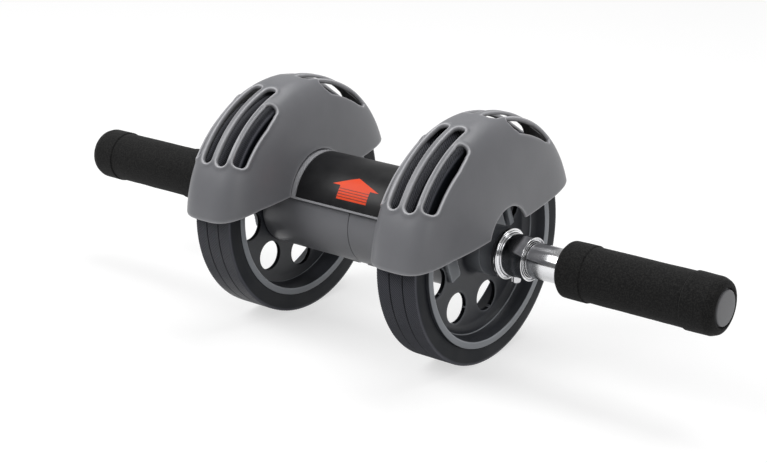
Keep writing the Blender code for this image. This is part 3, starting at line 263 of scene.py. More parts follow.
# Snap buttons: the pin's line is (radius, distance below the axle) in millimetres
BUTTON_OFFSET = 0.125
BUTTON_HOLE = 0.0037
BUTTON_DRILL = (0.008, 0.021)
BUTTON_STEPS = 40
BUTTON_LINE = (
    (0.0, 8.0), (4.4, 8.0), (4.6, 8.2), (4.6, 9.3), (4.4, 9.5), (3.3, 9.5), (3.3, 18.6), (3.2, 19.1),
    (2.9, 19.5), (2.4, 19.8), (1.5, 19.95), (0.0, 20.0),
)

# Screw holes in the barrel, and the distances of their ends: under the anchor, and under the saddles
SHAFT_RADIUS = 0.00205
SINK_RADIUS = 0.0037
ANCHOR_SINK = (0.0390, 0.0319)
ANCHOR_SHAFT = (0.0390, 0.0220)
SADDLE_SHAFT = (0.0371, 0.0200)
ANCHOR_SCREW_OFFSET = 0.0072
ANCHOR_SCREW_ANGLES = (radians(-115), radians(-65))
SADDLE_SCREW_OFFSET = 0.0633
SADDLE_SCREW_ANGLES = (radians(55), radians(125))

# Floor, and the light it gives off to the camera and clear reflections: how much near the object and
# far from it, and the distances between which it rises
FLOOR_REACH = 6.0
FLOOR_GREY = (0.42, 0.42, 0.42)
FLOOR_GLOW = (0.62, 0.62 + 0.16)
GLOW_DISTANCES = (0.8, 3.5)
# Greys of the surroundings by height, behind the object and in front of it
WORLD_BACK = ((0.0, 0.80), (0.25, 0.78), (0.8, 0.36))
WORLD_FRONT = ((0.0, 0.22), (0.40, 0.18), (0.62, 0.55))
WORLD_STRENGTH = 0.8
# The back's share, as its slope with a direction's Y and its value at none
WORLD_TURN = (1.6, 0.9)
# Lamps as name, place, size and power, all aimed at the same spot
LAMPS = (
    ("key", (-0.9, -1.1, 1.5), (1.5, 1.1), 24.0),
    ("fill", (1.4, -0.7, 0.9), (0.5, 1.0), 4.0),
    ("top", (0.1, 0.5, 1.6), (1.4, 0.7), 12.0),
)
LAMP_TARGET = Vector((0, 0, 0.08))


def build_material(name, colour, roughness, metallic=0.0):
    material = bpy.data.materials.new(name)
    material.use_nodes = True
    shader = material.node_tree.nodes["Principled BSDF"]
    shader.inputs["Base Color"].default_value = (*colour, 1.0)
    shader.inputs["Roughness"].default_value = roughness
    shader.inputs["Metallic"].default_value = metallic
    return material, material.node_tree, shader


def node(tree, kind, **settings):
    """A shader node. Each setting is a socket to link from, an input's value or an attribute's."""
    made = tree.nodes.new("ShaderNode" + kind)
    for key, value in settings.items():
        if isinstance(value, bpy.types.NodeSocket):
            tree.links.new(value, made.inputs[key])
        elif key in made.inputs:
            made.inputs[key].default_value = value
        else:
            setattr(made, key, value)
    return made


def own_place(tree):
    """Where a point lies in its piece's own coordinates."""
    return node(tree, "TexCoord").outputs["Object"]


def noise_texture(tree, scale, detail=3.0, rough=0.55):
    """Noise in the piece's own coordinates, with its scale in cells for each metre."""
    texture = node(tree, "TexNoise", Vector=own_place(tree), Scale=scale, Detail=detail, Roughness=rough)
    return texture.outputs["Fac"]


def ramp(tree, source, stops):
    """A colour that follows a socket through stops of (value, colour or grey)."""
    made = node(tree, "ValToRGB", Fac=source)
    elements = made.color_ramp.elements
    while len(elements) < len(stops):
        elements.new(0.5)
    for element, (place, colour) in zip(elements, stops):
        element.position = place
        element.color = (*(colour if isinstance(colour, tuple) else (colour,) * 3), 1.0)
    return made.outputs["Color"]


def drifting(tree, source, low, high):
    """A colour that drifts between two over the usual range of a noise."""
    return ramp(tree, source, ((0.3, low), (0.7, high)))


def blended(tree, share, low, high):
    """A colour between two colours, by a share from a socket. Either colour may be a socket."""
    mix = node(tree, "Mix", data_type="RGBA", Factor=share)
    for value, socket in ((low, mix.inputs[6]), (high, mix.inputs[7])):
        if isinstance(value, bpy.types.NodeSocket):
            tree.links.new(value, socket)
        else:
            socket.default_value = (*value, 1.0)
    return mix.outputs[2]


def marked(tree, key, low, high):
    """A colour between two colours, by the mark that add_piece stored under this key."""
    return blended(tree, node(tree, "Attribute", attribute_name=key).outputs["Fac"], low, high)


def add_bump(tree, shader, height, strength, distance, below=None):
    bump = node(tree, "Bump", Strength=strength, Distance=distance, Height=height)
    if below:
        tree.links.new(below.outputs["Normal"], bump.inputs["Normal"])
    tree.links.new(bump.outputs["Normal"], shader.inputs["Normal"])
    return bump


def paint(tree, shader, colour, source, rough):
    """Gives a shader its colour, and a roughness that drifts between two values with a noise."""
    tree.links.new(colour, shader.inputs["Base Color"])
    tree.links.new(drifting(tree, source, *rough), shader.inputs["Roughness"])


def make_plastic(name, low, high, highlight, rough):
    """Moulded plastic: drifting colour, a fine spark-eroded grain, painted highlights on points marked edge
    and painted shade on points marked inside.
    """
    material, tree, shader = build_material(name, high, rough[1])
    body = drifting(tree, noise_texture(tree, 24.0, 4.0), low, high)
    # Painted shade: points marked inside are darkened to a sixth of the plastic's colour.
    body = marked(tree, "inside", body, tuple(0.16 * value for value in low))
    fine = noise_texture(tree, 1400.0, 2.0)
    # Painted highlights on the points marked edge.
    paint(tree, shader, marked(tree, "edge", body, highlight), fine, rough)
    add_bump(tree, shader, fine, 0.35, 0.00003)
    return material


def make_skin(name, low, high, rough, drift, grain=None, highlight=None, metallic=0.0):
    """A surface with a drift in colour and roughness, and with a fine grain and painted highlights on points
    marked edge if given.
    """
    material, tree, shader = build_material(name, high, rough[1], metallic)
    source = noise_texture(tree, *drift)
    colour = drifting(tree, source, low, high)
    # Painted highlights on the points marked edge.
    paint(tree, shader, marked(tree, "edge", colour, highlight) if highlight else colour, source, rough)
    if grain:
        scale, detail, strength, depth = grain
        shader.inputs["Specular IOR Level"].default_value = 0.3
        add_bump(tree, shader, noise_texture(tree, scale, detail), strength, depth)
    return material


def make_metal(name, low, high, rough, scale):
    return make_skin(name, low, high, rough, (scale, 5.0, 0.6), metallic=1.0)


def make_foam(name, low, high, pore):
    """Closed-cell foam: a skin of fine pores, some of them open and dark."""
    material, tree, shader = build_material(name, high, 0.9)
    cells = node(tree, "TexVoronoi", Vector=own_place(tree), Scale=850.0, Randomness=1.0)
    pores = ramp(tree, cells.outputs["Distance"], ((0.12, 0.0), (0.5, 1.0)))
    speck = noise_texture(tree, 900.0, 3.0, 0.6)
    skin = ramp(tree, speck, ((0.40, low), (0.60, high)))
    tree.links.new(blended(tree, pores, pore, skin), shader.inputs["Base Color"])
    shader.inputs["Specular IOR Level"].default_value = 0.25
    shader.inputs["Sheen Weight"].default_value = 0.05
    shader.inputs["Sheen Roughness"].default_value = 0.5
    first = add_bump(tree, shader, speck, 0.8, 0.0003)
    add_bump(tree, shader, pores, 0.5, 0.00012, first)
    return material


make_film = partial(make_skin, drift=(90.0, 3.0), grain=(700.0, 1.0, 0.15, 0.00002))

# The slots' materials. A plastic's third colour and the rubber's last colour are the painted highlights on
# points marked edge.
MATERIALS = {
    "hood_plastic": make_plastic(
        "hood_grey", (0.163, 0.165, 0.178), (0.188, 0.190, 0.203), (0.47, 0.47, 0.49), (0.34, 0.46)
    ),
    "wheel_plastic": make_plastic(
        "wheel_charcoal", (0.024, 0.026, 0.032), (0.034, 0.037, 0.045), (0.37, 0.39, 0.42), (0.34, 0.5)
    ),
    "cap_plastic": make_plastic(
        "cap_grey", (0.130, 0.131, 0.138), (0.152, 0.153, 0.160), (0.30, 0.30, 0.30), (0.36, 0.48)
    ),
    "bush_nylon": make_plastic(
        "nylon", (0.026, 0.027, 0.030), (0.034, 0.035, 0.038), (0.06, 0.06, 0.065), (0.42, 0.55)
    ),
    "tyre_rubber": make_skin(
        "tyre_rubber_black", (0.0030, 0.0042, 0.0068), (0.0050, 0.0068, 0.0108), (0.48, 0.66),
        (30.0, 5.0), (1800.0, 2.0, 0.3, 0.00004), (0.150, 0.152, 0.180),
    ),
    "grip_foam": make_foam(
        "foam_black", (0.0018, 0.0018, 0.0021), (0.0150, 0.0147, 0.0142), (0.003, 0.003, 0.003)
    ),
    "chrome": make_metal("polished_chrome", (0.74, 0.745, 0.76), (0.82, 0.82, 0.83), (0.09, 0.17), 60.0),
    "zinc_steel": make_metal("bright_zinc", (0.58, 0.58, 0.60), (0.70, 0.70, 0.71), (0.12, 0.24), 300.0),
    "spring_steel": make_metal("oiled_steel", (0.11, 0.11, 0.12), (0.20, 0.20, 0.21), (0.28, 0.42), 240.0),
    "label_film": make_film("label_black", (0.006, 0.006, 0.007), (0.011, 0.011, 0.012), (0.36, 0.46)),
}
ARROW_INK = make_film("arrow_orange", (0.80, 0.054, 0.005), (0.86, 0.070, 0.009), (0.42, 0.50))


def add_object(name, data):
    made = bpy.data.objects.new(name, data)
    bpy.context.scene.collection.objects.link(made)
    return made


def add_piece(name, points, faces, body, slot, *nodes, material=None, sharp=35.0, **marks):
    """Puts a smooth piece on its body, in place of these CAD nodes. marks are shares for each point."""
    mesh = bpy.data.meshes.new(name)
    mesh.from_pydata([tuple(p) for p in points], [], [tuple(f) for f in faces])
    for key, values in marks.items():
        layer = mesh.attributes.new(key, "FLOAT", "POINT")
        layer.data.foreach_set("value", np.clip(np.asarray(values, np.float32), 0, 1))
    bm = bmesh.new()
    bm.from_mesh(mesh)
    bmesh.ops.remove_doubles(bm, verts=bm.verts, dist=0.000002)
    bmesh.ops.dissolve_degenerate(bm, edges=bm.edges, dist=0.000001)
    bmesh.ops.recalc_face_normals(bm, faces=bm.faces)
    bm.to_mesh(mesh)
    bm.free()
    mesh.shade_smooth()
    mesh.set_sharp_from_angle(angle=radians(sharp))
    mesh.materials.append(material or MATERIALS[slot])
    piece = add_object(name, mesh)
    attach(piece, body)
    if nodes:
        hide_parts(*nodes)
    return piece


def softened(outline, steps=4):
    """Rounds the corners of a closed outline of (along, radius, rounding), all in millimetres."""
    made = []
    for i, (x, r, rounding) in enumerate(outline):
        here = Vector((x, r))
        before = Vector(outline[i - 1][:2]) - here
        after = Vector(outline[(i + 1) % len(outline)][:2]) - here
        if rounding <= 0 or before.length < 1e-6 or after.length < 1e-6:
            made.append((x, r))
            continue
        reach = rounding / max(tan(before.angle(after) / 2), 0.05)
        reach = min(reach, 0.49 * before.length, 0.49 * after.length)
        start, end = here + before.normalized() * reach, here + after.normalized() * reach
        for k in range(steps + 1):
            t = k / steps
            made.append(tuple((1 - t) ** 2 * start + 2 * t * (1 - t) * here + t * t * end))
    return made


def turned_points(side, outline, steps, shape=None):
    """Points of an outline in millimetres, turned about the axle. shape moves a point of it."""
    points = []
    for i in range(steps):
        angle = 2 * pi * i / steps
        for x, r in outline:
            x, r = (x, r) if shape is None else shape(x, r, angle)
            points.append((side * x * MM, r * MM * cos(angle), AXLE.z + r * MM * sin(angle)))
    return points


def turned_faces(count, steps, start=0, closed=True):
    """Faces between the copies of an outline of count points, the first of which has this index."""
    faces = []
    for i in range(steps):
        a, b = start + i * count, start + (i + 1) % steps * count
        for k in range(count if closed else count - 1):
            m = (k + 1) % count
            faces.append((a + k, a + m, b + m, b + k))
    return faces


def add_turned(name, side, outline, steps, slot, replaced):
    """A turned piece of the body. An outline that starts on the axle also ends there."""
    line = softened(outline)
    points, faces = turned_points(side, line, steps), turned_faces(len(line), steps, closed=line[0][1] > 0)
    return add_piece(name, points, faces, "body", slot, replaced)


def carve(piece, *cutters):
    """Cuts cutters out of a piece for good and removes them."""
    for cutter in cutters:
        modifier = piece.modifiers.new("cut", "BOOLEAN")
        modifier.operation = "DIFFERENCE"
        modifier.object = cutter
    bpy.context.view_layer.update()
    graph = bpy.context.evaluated_depsgraph_get()
    mesh = bpy.data.meshes.new_from_object(piece.evaluated_get(graph))
    mesh.set_sharp_from_angle(angle=radians(35))
    piece.modifiers.clear()
    piece.data = mesh
    for cutter in cutters:
        bpy.data.objects.remove(cutter, do_unlink=True)


def radial(x, distance, angle, rise=0.0):
    """The point at this distance from the axle, in the direction of angle from +Y."""
    return Vector((x, distance * cos(angle), AXLE.z + rise + distance * sin(angle)))


def drill(x, ends, angle, radius, rise=0.0):
    """A cylinder to cut with, between two distances from the axle in the direction of angle."""
    start, end = (radial(x, distance, angle, rise) for distance in ends)
    bm = bmesh.new()
    along = end - start
    made = bmesh.ops.create_cone(
        bm, cap_ends=True, segments=48, radius1=radius, radius2=radius, depth=along.length
    )
    turn = Vector((0, 0, 1)).rotation_difference(along).to_matrix().to_4x4()
    bmesh.ops.transform(bm, matrix=Matrix.Translation((start + end) / 2) @ turn, verts=made["verts"])
    mesh = bpy.data.meshes.new("cutter")
    bm.to_mesh(mesh)
    bm.free()
    return add_object("cutter", mesh)


class Sheet:
    """A surface's own flat pattern: points of two coordinates, and faces that are cut along contours."""

    NEAR = 0.00004

    def __init__(self, firsts, seconds):
        rows, columns = len(seconds), len(firsts)
        self.points = np.array([(u, v) for v in seconds for u in firsts], float)
        self.faces = [
            (r * columns + c, r * columns + c + 1, (r + 1) * columns + c + 1, (r + 1) * columns + c)
            for r in range(rows - 1) for c in range(columns - 1)
        ]

    def split(self, field, level=0.0, drop=False):
        """Cuts every face that the contour crosses. With drop, what lies below it goes."""
        values = field(self.points) - level
        signs = np.where(np.abs(values) < self.NEAR, 0, np.sign(values)).astype(int)
        mixed, kept = [], []
        for face in self.faces:
            found = signs[list(face)]
            if found.min() < 0 < found.max():
                mixed.append(face)
            elif not (drop and found.min() < 0):
                kept.append(face)
        crossed = {}
        for face in mixed:
            for a, b in zip(face, face[1:] + face[:1]):
                if signs[a] * signs[b] < 0:
                    crossed.setdefault((min(a, b), max(a, b)), len(self.points) + len(crossed))
        starts, ends = np.array(list(crossed), int).reshape(-1, 2).T
        low, high = self.points[starts], self.points[ends]
        from_value, to_value = values[starts], values[ends]
        share_low, share_high = np.zeros(len(starts)), np.ones(len(starts))
        for _ in range(4):
            share = share_low + (share_high - share_low) * from_value / (from_value - to_value)
            at = field(low + (high - low) * share[:, None]) - level
            same = np.sign(at) == np.sign(from_value)
            share_low, from_value = np.where(same, share, share_low), np.where(same, at, from_value)
            share_high, to_value = np.where(same, share_high, share), np.where(same, to_value, at)
        new = low + (high - low) * share[:, None]
        self.points = np.concatenate([self.points, new])
        for face in mixed:
            ring = []
            for a, b in zip(face, face[1:] + face[:1]):
                ring.append((a, signs[a]))
                if signs[a] * signs[b] < 0:
                    ring.append((crossed[(min(a, b), max(a, b))], 0))
            for wanted in (1,) if drop else (1, -1):
                part = tuple(index for index, sign in ring if sign * wanted >= 0)
                if len(part) > 2:
                    kept.append(part)
        self.faces = kept

    def split_round(self, field, levels):
        """Cuts along the contours at these distances, in millimetres."""
        for level in levels:
            self.split(field, level * MM)

    def tidy(self):
        """Leaves out points that no face uses."""
        used = sorted({index for face in self.faces for index in face})
        place = {old: new for new, old in enumerate(used)}
        self.points = self.points[used]
        self.faces = [tuple(place[index] for index in face) for face in self.faces]

    def shell(self, outer, inner, on_rim=None):
        """Points and faces of a wall between two surfaces, closed along its edges or those on_rim."""
        count = len(self.points)
        points = list(outer) + list(inner)
        faces = list(self.faces) + [tuple(index + count for index in face[::-1]) for face in self.faces]
        edges = {(a, b): None for face in self.faces for a, b in zip(face, face[1:] + face[:1])}
        for a, b in edges:
            if (b, a) not in edges and (on_rim is None or on_rim[a] and on_rim[b]):
                faces.append((b, a, a + count, b + count))
        return points, faces


def polygon_distance(points, corners):
    """Signed distance of flat points to a closed polygon, negative inside."""
    best = np.full(len(points), 1e9)
    inside = np.zeros(len(points), bool)
    for a, b in zip(corners, np.roll(corners, -1, axis=0)):
        edge, offset = b - a, points - a
        share = np.clip(offset @ edge / (edge @ edge), 0, 1)
        best = np.minimum(best, np.hypot(*(offset - share[:, None] * edge).T))
        crosses = (a[1] > points[:, 1]) != (b[1] > points[:, 1])
        with np.errstate(divide="ignore", invalid="ignore"):
            where = a[0] + (points[:, 1] - a[1]) * edge[0] / edge[1]
        inside ^= crosses & (points[:, 0] < where)
    return np.where(inside, -best, best)


def inset_polygon(corners, distance):
    """The corners of a convex polygon moved in by this distance from each of its edges."""
    before, after = np.roll(corners, 1, axis=0), np.roll(corners, -1, axis=0)
    turn = np.sign(np.sum([a[0] * b[1] - a[1] * b[0] for a, b in zip(corners, after)]))
    made = []
    for last, here, following in zip(before, corners, after):
        first, second = here - last, following - here
        first, second = first / np.hypot(*first), second / np.hypot(*second)
        in_first = turn * np.array((-first[1], first[0]))
        in_second = turn * np.array((-second[1], second[0]))
        made.append(here + (in_first + in_second) * distance / (1 + in_first @ in_second))
    return np.array(made)


def hood_crest(angle):
    return HOOD_FRONT_RADIUS + HOOD_REAR_SWELL * ((1 + np.cos(angle)) / 2) ** HOOD_SWELL_POWER


def hood_half_width(angle):
    gain = HOOD_FRONT_HALF_WIDTH - HOOD_REAR_HALF_WIDTH
    return HOOD_REAR_HALF_WIDTH + gain * (1 - np.cos(angle)) / 2


def hood_section(turn, angle):
    """(distance from the mid-plane, distance from the axle) of the hood's skin."""
    power = HOOD_SQUARENESS
    scale = (np.abs(np.sin(turn)) ** power + np.abs(np.cos(turn)) ** power) ** (-1 / power)
    return hood_half_width(angle) * np.sin(turn) * scale, hood_crest(angle) * np.cos(turn) * scale


def hood_place(side, points, lift):
    """Places of the pattern's (turn, angle) points, lifted off the skin along the normal of its section."""
    turn, angle = points[:, 0], points[:, 1]
    across, radius = hood_section(turn, angle)
    width, crest = hood_half_width(angle), hood_crest(angle)
    power = HOOD_SQUARENESS - 1
    slope_x = np.sign(across) * (np.abs(across) / width) ** power / width
    slope_r = (radius / crest) ** power / crest
    scale = lift / np.hypot(slope_x, slope_r)
    far = radius + slope_r * scale
    x = side * (WHEEL_OFFSET - across - slope_x * scale)
    return np.stack([x, far * np.cos(angle), AXLE.z + far * np.sin(angle)], axis=1)


def section_lengths(angle):
    """Length along the hood's section from its crest to each of SECTION_TURNS."""
    across, radius = hood_section(SECTION_TURNS, angle)
    return np.concatenate([[0.0], np.cumsum(np.hypot(np.diff(across), np.diff(radius)))])


SECTION_TURNS = np.linspace(0, HOOD_SPREAD, 400)
SECTION_ANGLES = np.linspace(HOOD_START, HOOD_END, 61)
SECTION_LENGTHS = np.array([section_lengths(angle) for angle in SECTION_ANGLES])


def hood_flat(points):
    """(distance along the section, distance round the crest) of points of the hood's pattern."""
    turn, angle = points[:, 0], points[:, 1]
    row = np.clip((angle - HOOD_START) / (HOOD_END - HOOD_START), 0, 1) * (len(SECTION_ANGLES) - 1)
    low = np.minimum(row.astype(int), len(SECTION_ANGLES) - 2)
    column = np.clip(np.abs(turn) / HOOD_SPREAD, 0, 1) * (len(SECTION_TURNS) - 1)
    left = np.minimum(column.astype(int), len(SECTION_TURNS) - 2)
    s, t = column - left, row - low
    table = SECTION_LENGTHS
    first = table[low, left] * (1 - s) + table[low, left + 1] * s
    second = table[low + 1, left] * (1 - s) + table[low + 1, left + 1] * s
    return np.stack([np.sign(turn) * (first * (1 - t) + second * t), angle * HOOD_FRONT_RADIUS], axis=1)


def opening_shape(outline, rounding):
    """An opening in the hood's flat pattern, as corners and the rounding to add round them."""
    corners = []
    for degrees, across in outline:
        angle = radians(degrees)
        section_x, _ = hood_section(SECTION_TURNS, angle)
        turn = np.interp(across * MM, section_x, SECTION_TURNS)
        corners.append(hood_flat(np.array([[turn, angle]]))[0])
    return inset_polygon(np.array(corners), rounding), rounding


SLOT_SHAPES = [opening_shape(outline, SLOT_ROUNDING) for outline in SLOTS]
VENT_SHAPES = [opening_shape(outline, VENT_ROUNDING) for outline in VENTS]


def opening_distance(shapes, shift, points):
    """Distance of the pattern's points to the nearest of these openings, negative inside one."""
    flat = hood_flat(points)
    flat[:, 0] = np.abs(flat[:, 0] - shift[0])
    flat[:, 1] -= shift[1] * HOOD_FRONT_RADIUS
    return np.min([polygon_distance(flat, corners) - rounding for corners, rounding in shapes], axis=0)


def edge_distance(side, points):
    """Height of the pattern's points over the hood's lower edge."""
    place = hood_place(side, points, 0.0)
    return place[:, 2] - AXLE.z - np.interp(place[:, 1], *np.array(HOOD_EDGE).T)


def arch_distance(side, points):
    """Distance of the pattern's points to the arch on their side of the hood, negative inside it."""
    place = hood_place(side, points, 0.0)
    y, z = place[:, 1], place[:, 2] - AXLE.z
    outer, inner = (np.hypot(y, z - height) - radius for radius, height in ARCHES)
    return np.where(points[:, 0] > 0, inner, outer)


def hood_lift(slot, other):
    """How far the skin rises or falls at these distances from a slot and from any other edge."""
    rising = np.sqrt(np.clip(1 - (1 - np.clip(slot / LIP_CREST, 0, 1)) ** 2, 0, 1))
    falling = 0.5 + 0.5 * np.cos(pi * np.clip((slot - LIP_CREST) / (LIP_REACH - LIP_CREST), 0, 1))
    lip = np.where(
        slot < LIP_CREST, -EDGE_ROUNDING + (LIP_RISE + EDGE_ROUNDING) * rising, LIP_RISE * falling
    )
    rim = np.clip(1 - other / EDGE_ROUNDING, 0, 1)
    return lip - EDGE_ROUNDING * (1 - np.sqrt(1 - rim ** 2))


def rib_depth(points):
    """Depth of the ribs behind the bars between the vents."""
    start, end = RIB_SPAN
    along = np.clip(np.minimum(end - points[:, 1], points[:, 1] - start) / RIB_FADE, 0, 1)
    across = np.abs(hood_flat(points)[:, 0]) - RIB_PLACE
    return RIB_DEPTH * along * np.exp(-(across / RIB_HALF_WIDTH) ** 4)


def make_hood(side, label):
    length = SECTION_LENGTHS[len(SECTION_ANGLES) // 2]
    columns = ceil(length[-1] / HOOD_CELL)
    half = np.interp(np.linspace(0, length[-1], columns + 1), length, SECTION_TURNS)
    rows = ceil((HOOD_END - HOOD_START) * HOOD_FRONT_RADIUS / HOOD_CELL)
    sheet = Sheet(np.concatenate([-half[:0:-1], half]), np.linspace(HOOD_START, HOOD_END, rows + 1))
    slots = partial(opening_distance, SLOT_SHAPES, SLOT_SHIFT)
    vents = partial(opening_distance, VENT_SHAPES, VENT_SHIFTS[side])
    plain_edges = (vents, partial(edge_distance, side), partial(arch_distance, side))
    for field in (slots, *plain_edges):
        sheet.split(field, drop=True)
    sheet.split_round(slots, LIP_CONTOURS)
    for field in plain_edges:
        sheet.split_round(field, EDGE_CONTOURS)
    sheet.tidy()
    points = sheet.points
    slot = slots(points)
    other = np.min([field(points) for field in plain_edges], axis=0)
    outer = hood_place(side, points, hood_lift(slot, other))
    inner = hood_place(side, points, -HOOD_WALL - rib_depth(points))
    made, faces = sheet.shell(outer, inner)
    add_saddle(side, made, faces)
    count = len(points)
    highlight, inside = np.zeros(len(made)), np.zeros(len(made))
    # Painted highlights along the slots' lips and the hood's other edges, and painted shade on its inner
    # surface.
    highlight[:count] = np.exp(-((slot - LIP_HIGHLIGHT) / LIP_HIGHLIGHT) ** 2)
    highlight[:count] += np.exp(-(np.clip(other, 0, 1) / EDGE_HIGHLIGHT) ** 2)
    inside[count:2 * count] = 1.0
    name, marks = label + "_hood", {"edge": highlight, "inside": inside}
    add_piece(name + "_shell", made, faces, "body", "hood_plastic", name, sharp=50.0, **marks)


def add_slab(points, faces, rows):
    """Adds a closed bar whose sections are rows of points."""
    start, count = len(points), len(rows[0])
    for row in rows:
        points.extend(row)
    faces += turned_faces(count, len(rows), start)[:-count]
    faces.append(tuple(range(start, start + count))[::-1])
    faces.append(tuple(range(len(points) - count, len(points))))


def add_saddle(side, points, faces):
    """The flange inside the hood that lies over the end of the upper cover."""
    low, high = SADDLE_RADII
    rows = []
    for angle in np.linspace(*SADDLE_SPAN, 49):
        spot = radial(0.0, SADDLE_MIDDLE, angle, COVER_RISE)
        flank = WHEEL_OFFSET - hood_half_width(atan2(spot.z - AXLE.z, spot.y)) + SADDLE_BITE
        rows.append([
            radial(side * x, radius, angle, COVER_RISE)
            for x, radius in ((flank, low), (SADDLE_END, low), (SADDLE_END, high), (flank, high))
        ])
    add_slab(points, faces, rows)


def wheel_plane(points):
    """(y, z) about the axle of the web's (radius, angle) points."""
    return points[:, 0] * np.cos(points[:, 1]), points[:, 0] * np.sin(points[:, 1])


def hole_angle(side, number):
    return HOLE_PHASES[side] + 2 * pi * number / HOLE_COUNT


def hole_distance(side, points):
    """Distance of the web's points to the nearest hole, negative inside one."""
    y, z = wheel_plane(points)
    found = []
    for i in range(HOLE_COUNT):
        angle = hole_angle(side, i)
        found.append(np.hypot(y - HOLE_CIRCLE * cos(angle), z - HOLE_CIRCLE * sin(angle)) - HOLE_RADIUS)
    return np.min(found, axis=0)


def pad_distance(side, points):
    """Distance of the web's points to the nearest raised pad, a rounded block, negative inside one."""
    y, z = wheel_plane(points)
    found = []
    for i in PAD_HOLES:
        angle = hole_angle(side, i)
        along = np.abs(y * cos(angle) + z * sin(angle) - PAD_MIDDLE) - PAD_HALF_DEPTH + PAD_ROUNDING
        across = np.abs(-y * sin(angle) + z * cos(angle)) - PAD_HALF_WIDTH + PAD_ROUNDING
        outside = np.hypot(np.maximum(along, 0), np.maximum(across, 0))
        found.append(outside + np.minimum(np.maximum(along, across), 0) - PAD_ROUNDING)
    return np.minimum(*found)


def bar_rows(side):
    """Sections of the bar across the hole beyond one pad."""
    angle = hole_angle(side, PAD_HOLES[1])
    rows = []
    for across, inset in BAR_STATIONS:
        row = []
        for x, distance, inset_x, inset_distance in BAR_SECTION:
            far = distance + inset_distance * inset
            y = far * cos(angle) - across * sin(angle)
            z = far * sin(angle) + across * cos(angle)
            row.append(Vector((side * (x + inset_x * inset), y, AXLE.z + z)))
        rows.append(row)
    return rows


def wheel_highlight(point):
    """How much painted highlight the wheel's plastic has here."""
    radius, x = hypot(point[1], point[2] - AXLE.z) / MM, abs(point[0]) / MM
    for x_low, x_high, low, high, wear in WHEEL_HIGHLIGHTS:
        if x_low < x < x_high and low < radius < high:
            return wear
    return 0.0


def make_wheel(side, label):
    sheet = Sheet(np.linspace(WEB_START, WEB_END, 27), np.linspace(0, 2 * pi, WHEEL_STEPS + 1))
    holes, pads = partial(hole_distance, side), partial(pad_distance, side)
    sheet.split(holes, drop=True)
    sheet.split_round(holes, HOLE_CONTOURS)
    sheet.split_round(pads, PAD_CONTOURS)
    sheet.tidy()
    hole, pad = holes(sheet.points), pads(sheet.points)
    y, z = wheel_plane(sheet.points)
    rim = np.clip(1 - hole / HOLE_EDGE_REACH, 0, 1)
    raised = PAD_RISE * np.clip(-pad / PAD_DRAFT + 1, 0, 1)
    top = np.clip((pad + PAD_EDGE_START) / PAD_EDGE_REACH, 0, 1) * (pad < 0)
    lift = raised - PAD_EDGE_DROP * top ** 2 - HOLE_EDGE_DROP * (1 - np.sqrt(1 - rim ** 2))
    front = np.stack([side * (WEB_OUTER + lift), y, AXLE.z + z], axis=1)
    back = np.stack([np.full(len(y), side * WEB_INNER), y, AXLE.z + z], axis=1)
    made, faces = sheet.shell(front, back, (hole >= 0) & (hole < 0.0001))
    # Painted highlights round the holes, along the pads' edges and on the pads' tops.
    highlight = HOLE_HIGHLIGHT * np.exp(-np.clip(hole, 0, 1) / HOLE_HIGHLIGHT_REACH)
    pad_edge = PAD_EDGE_HIGHLIGHT * np.exp(-np.abs(pad) / PAD_HIGHLIGHT_REACH) * (pad < PAD_HIGHLIGHT_END)
    highlight += pad_edge + PAD_TOP_HIGHLIGHT * (pad < 0)
    highlight = [*highlight, *np.zeros(len(back))]
    for line in (HUB_LINE, RIM_LINE):
        start = len(made)
        made += turned_points(side, line, WHEEL_STEPS)
        faces += turned_faces(len(line), WHEEL_STEPS, start, closed=False)
    add_slab(made, faces, bar_rows(side))
    # Painted highlights on the rim's lips, the web's corner lines, the bar and the hub's ring line.
    highlight += [wheel_highlight(point) for point in made[len(highlight):]]
    name = label + "_wheel"
    add_piece(name + "_moulding", made, faces, name, "wheel_plastic", name, edge=highlight, sharp=40.0)


def tyre_line():
    """The tyre's outline: place across, radius, share of the knurls' depth, distance from a band's middle."""
    beyond, below = TYRE_SHOULDER
    tread = []
    for low, high in TYRE_BANDS:
        middle = (low + high) / 2
        tread.append((low - beyond, TYRE_CROWN - below, 0.0, low - middle))
        tread += [(spot, TYRE_CROWN, 1.0, spot - middle) for spot in np.linspace(low, high, BAND_POINTS)]
        tread.append((high + beyond, TYRE_CROWN - below, 0.0, high - middle))
        if high < TYRE_BANDS[-1][1]:
            tread.append((high + GROOVE_MIDDLE, TYRE_GROOVE, 0.0, 0.0))
    wall = softened(TYRE_WALL, 3)
    return [(-x, r, 0.0, 0.0) for x, r in wall[::-1]] + tread + [(x, r, 0.0, 0.0) for x, r in wall]


def make_tyre(side, label):
    """Three bands of slanting knurls between two grooves, and smooth sidewalls, with painted highlights on
    the tread and the shoulders.
    """
    line, columns, (out, up) = tyre_line(), 2 * KNURLS, HIGHLIT_SHOULDER
    points, highlight = [], []
    for i in range(columns):
        for x, r, knurl, lean in line:
            angle = 2 * pi * i / columns + lean * KNURL_LEAN / TYRE_CROWN
            far = r - knurl * KNURL_DEPTH * (i % 2)
            place = (WHEEL_OFFSET - TYRE_INSET) / MM + x
            points.append((side * place * MM, far * MM * cos(angle), AXLE.z + far * MM * sin(angle)))
            if knurl:
                highlight.append(DIP_HIGHLIGHT if i % 2 else CREST_HIGHLIGHT)
            else:
                highlight.append(SHOULDER_HIGHLIGHT if abs(x) > out and r > up else 0.0)
    name, body, faces = label + "_tyre", label + "_wheel", turned_faces(len(line), columns)
    add_piece(name + "_tread", points, faces, body, "tyre_rubber", name, edge=highlight, sharp=28.0)


def drill_button_hole(piece, side):
    """Cuts the snap button's hole through the underside of a tube."""
    carve(piece, drill(side * BUTTON_OFFSET, BUTTON_DRILL, -pi / 2, BUTTON_HOLE))


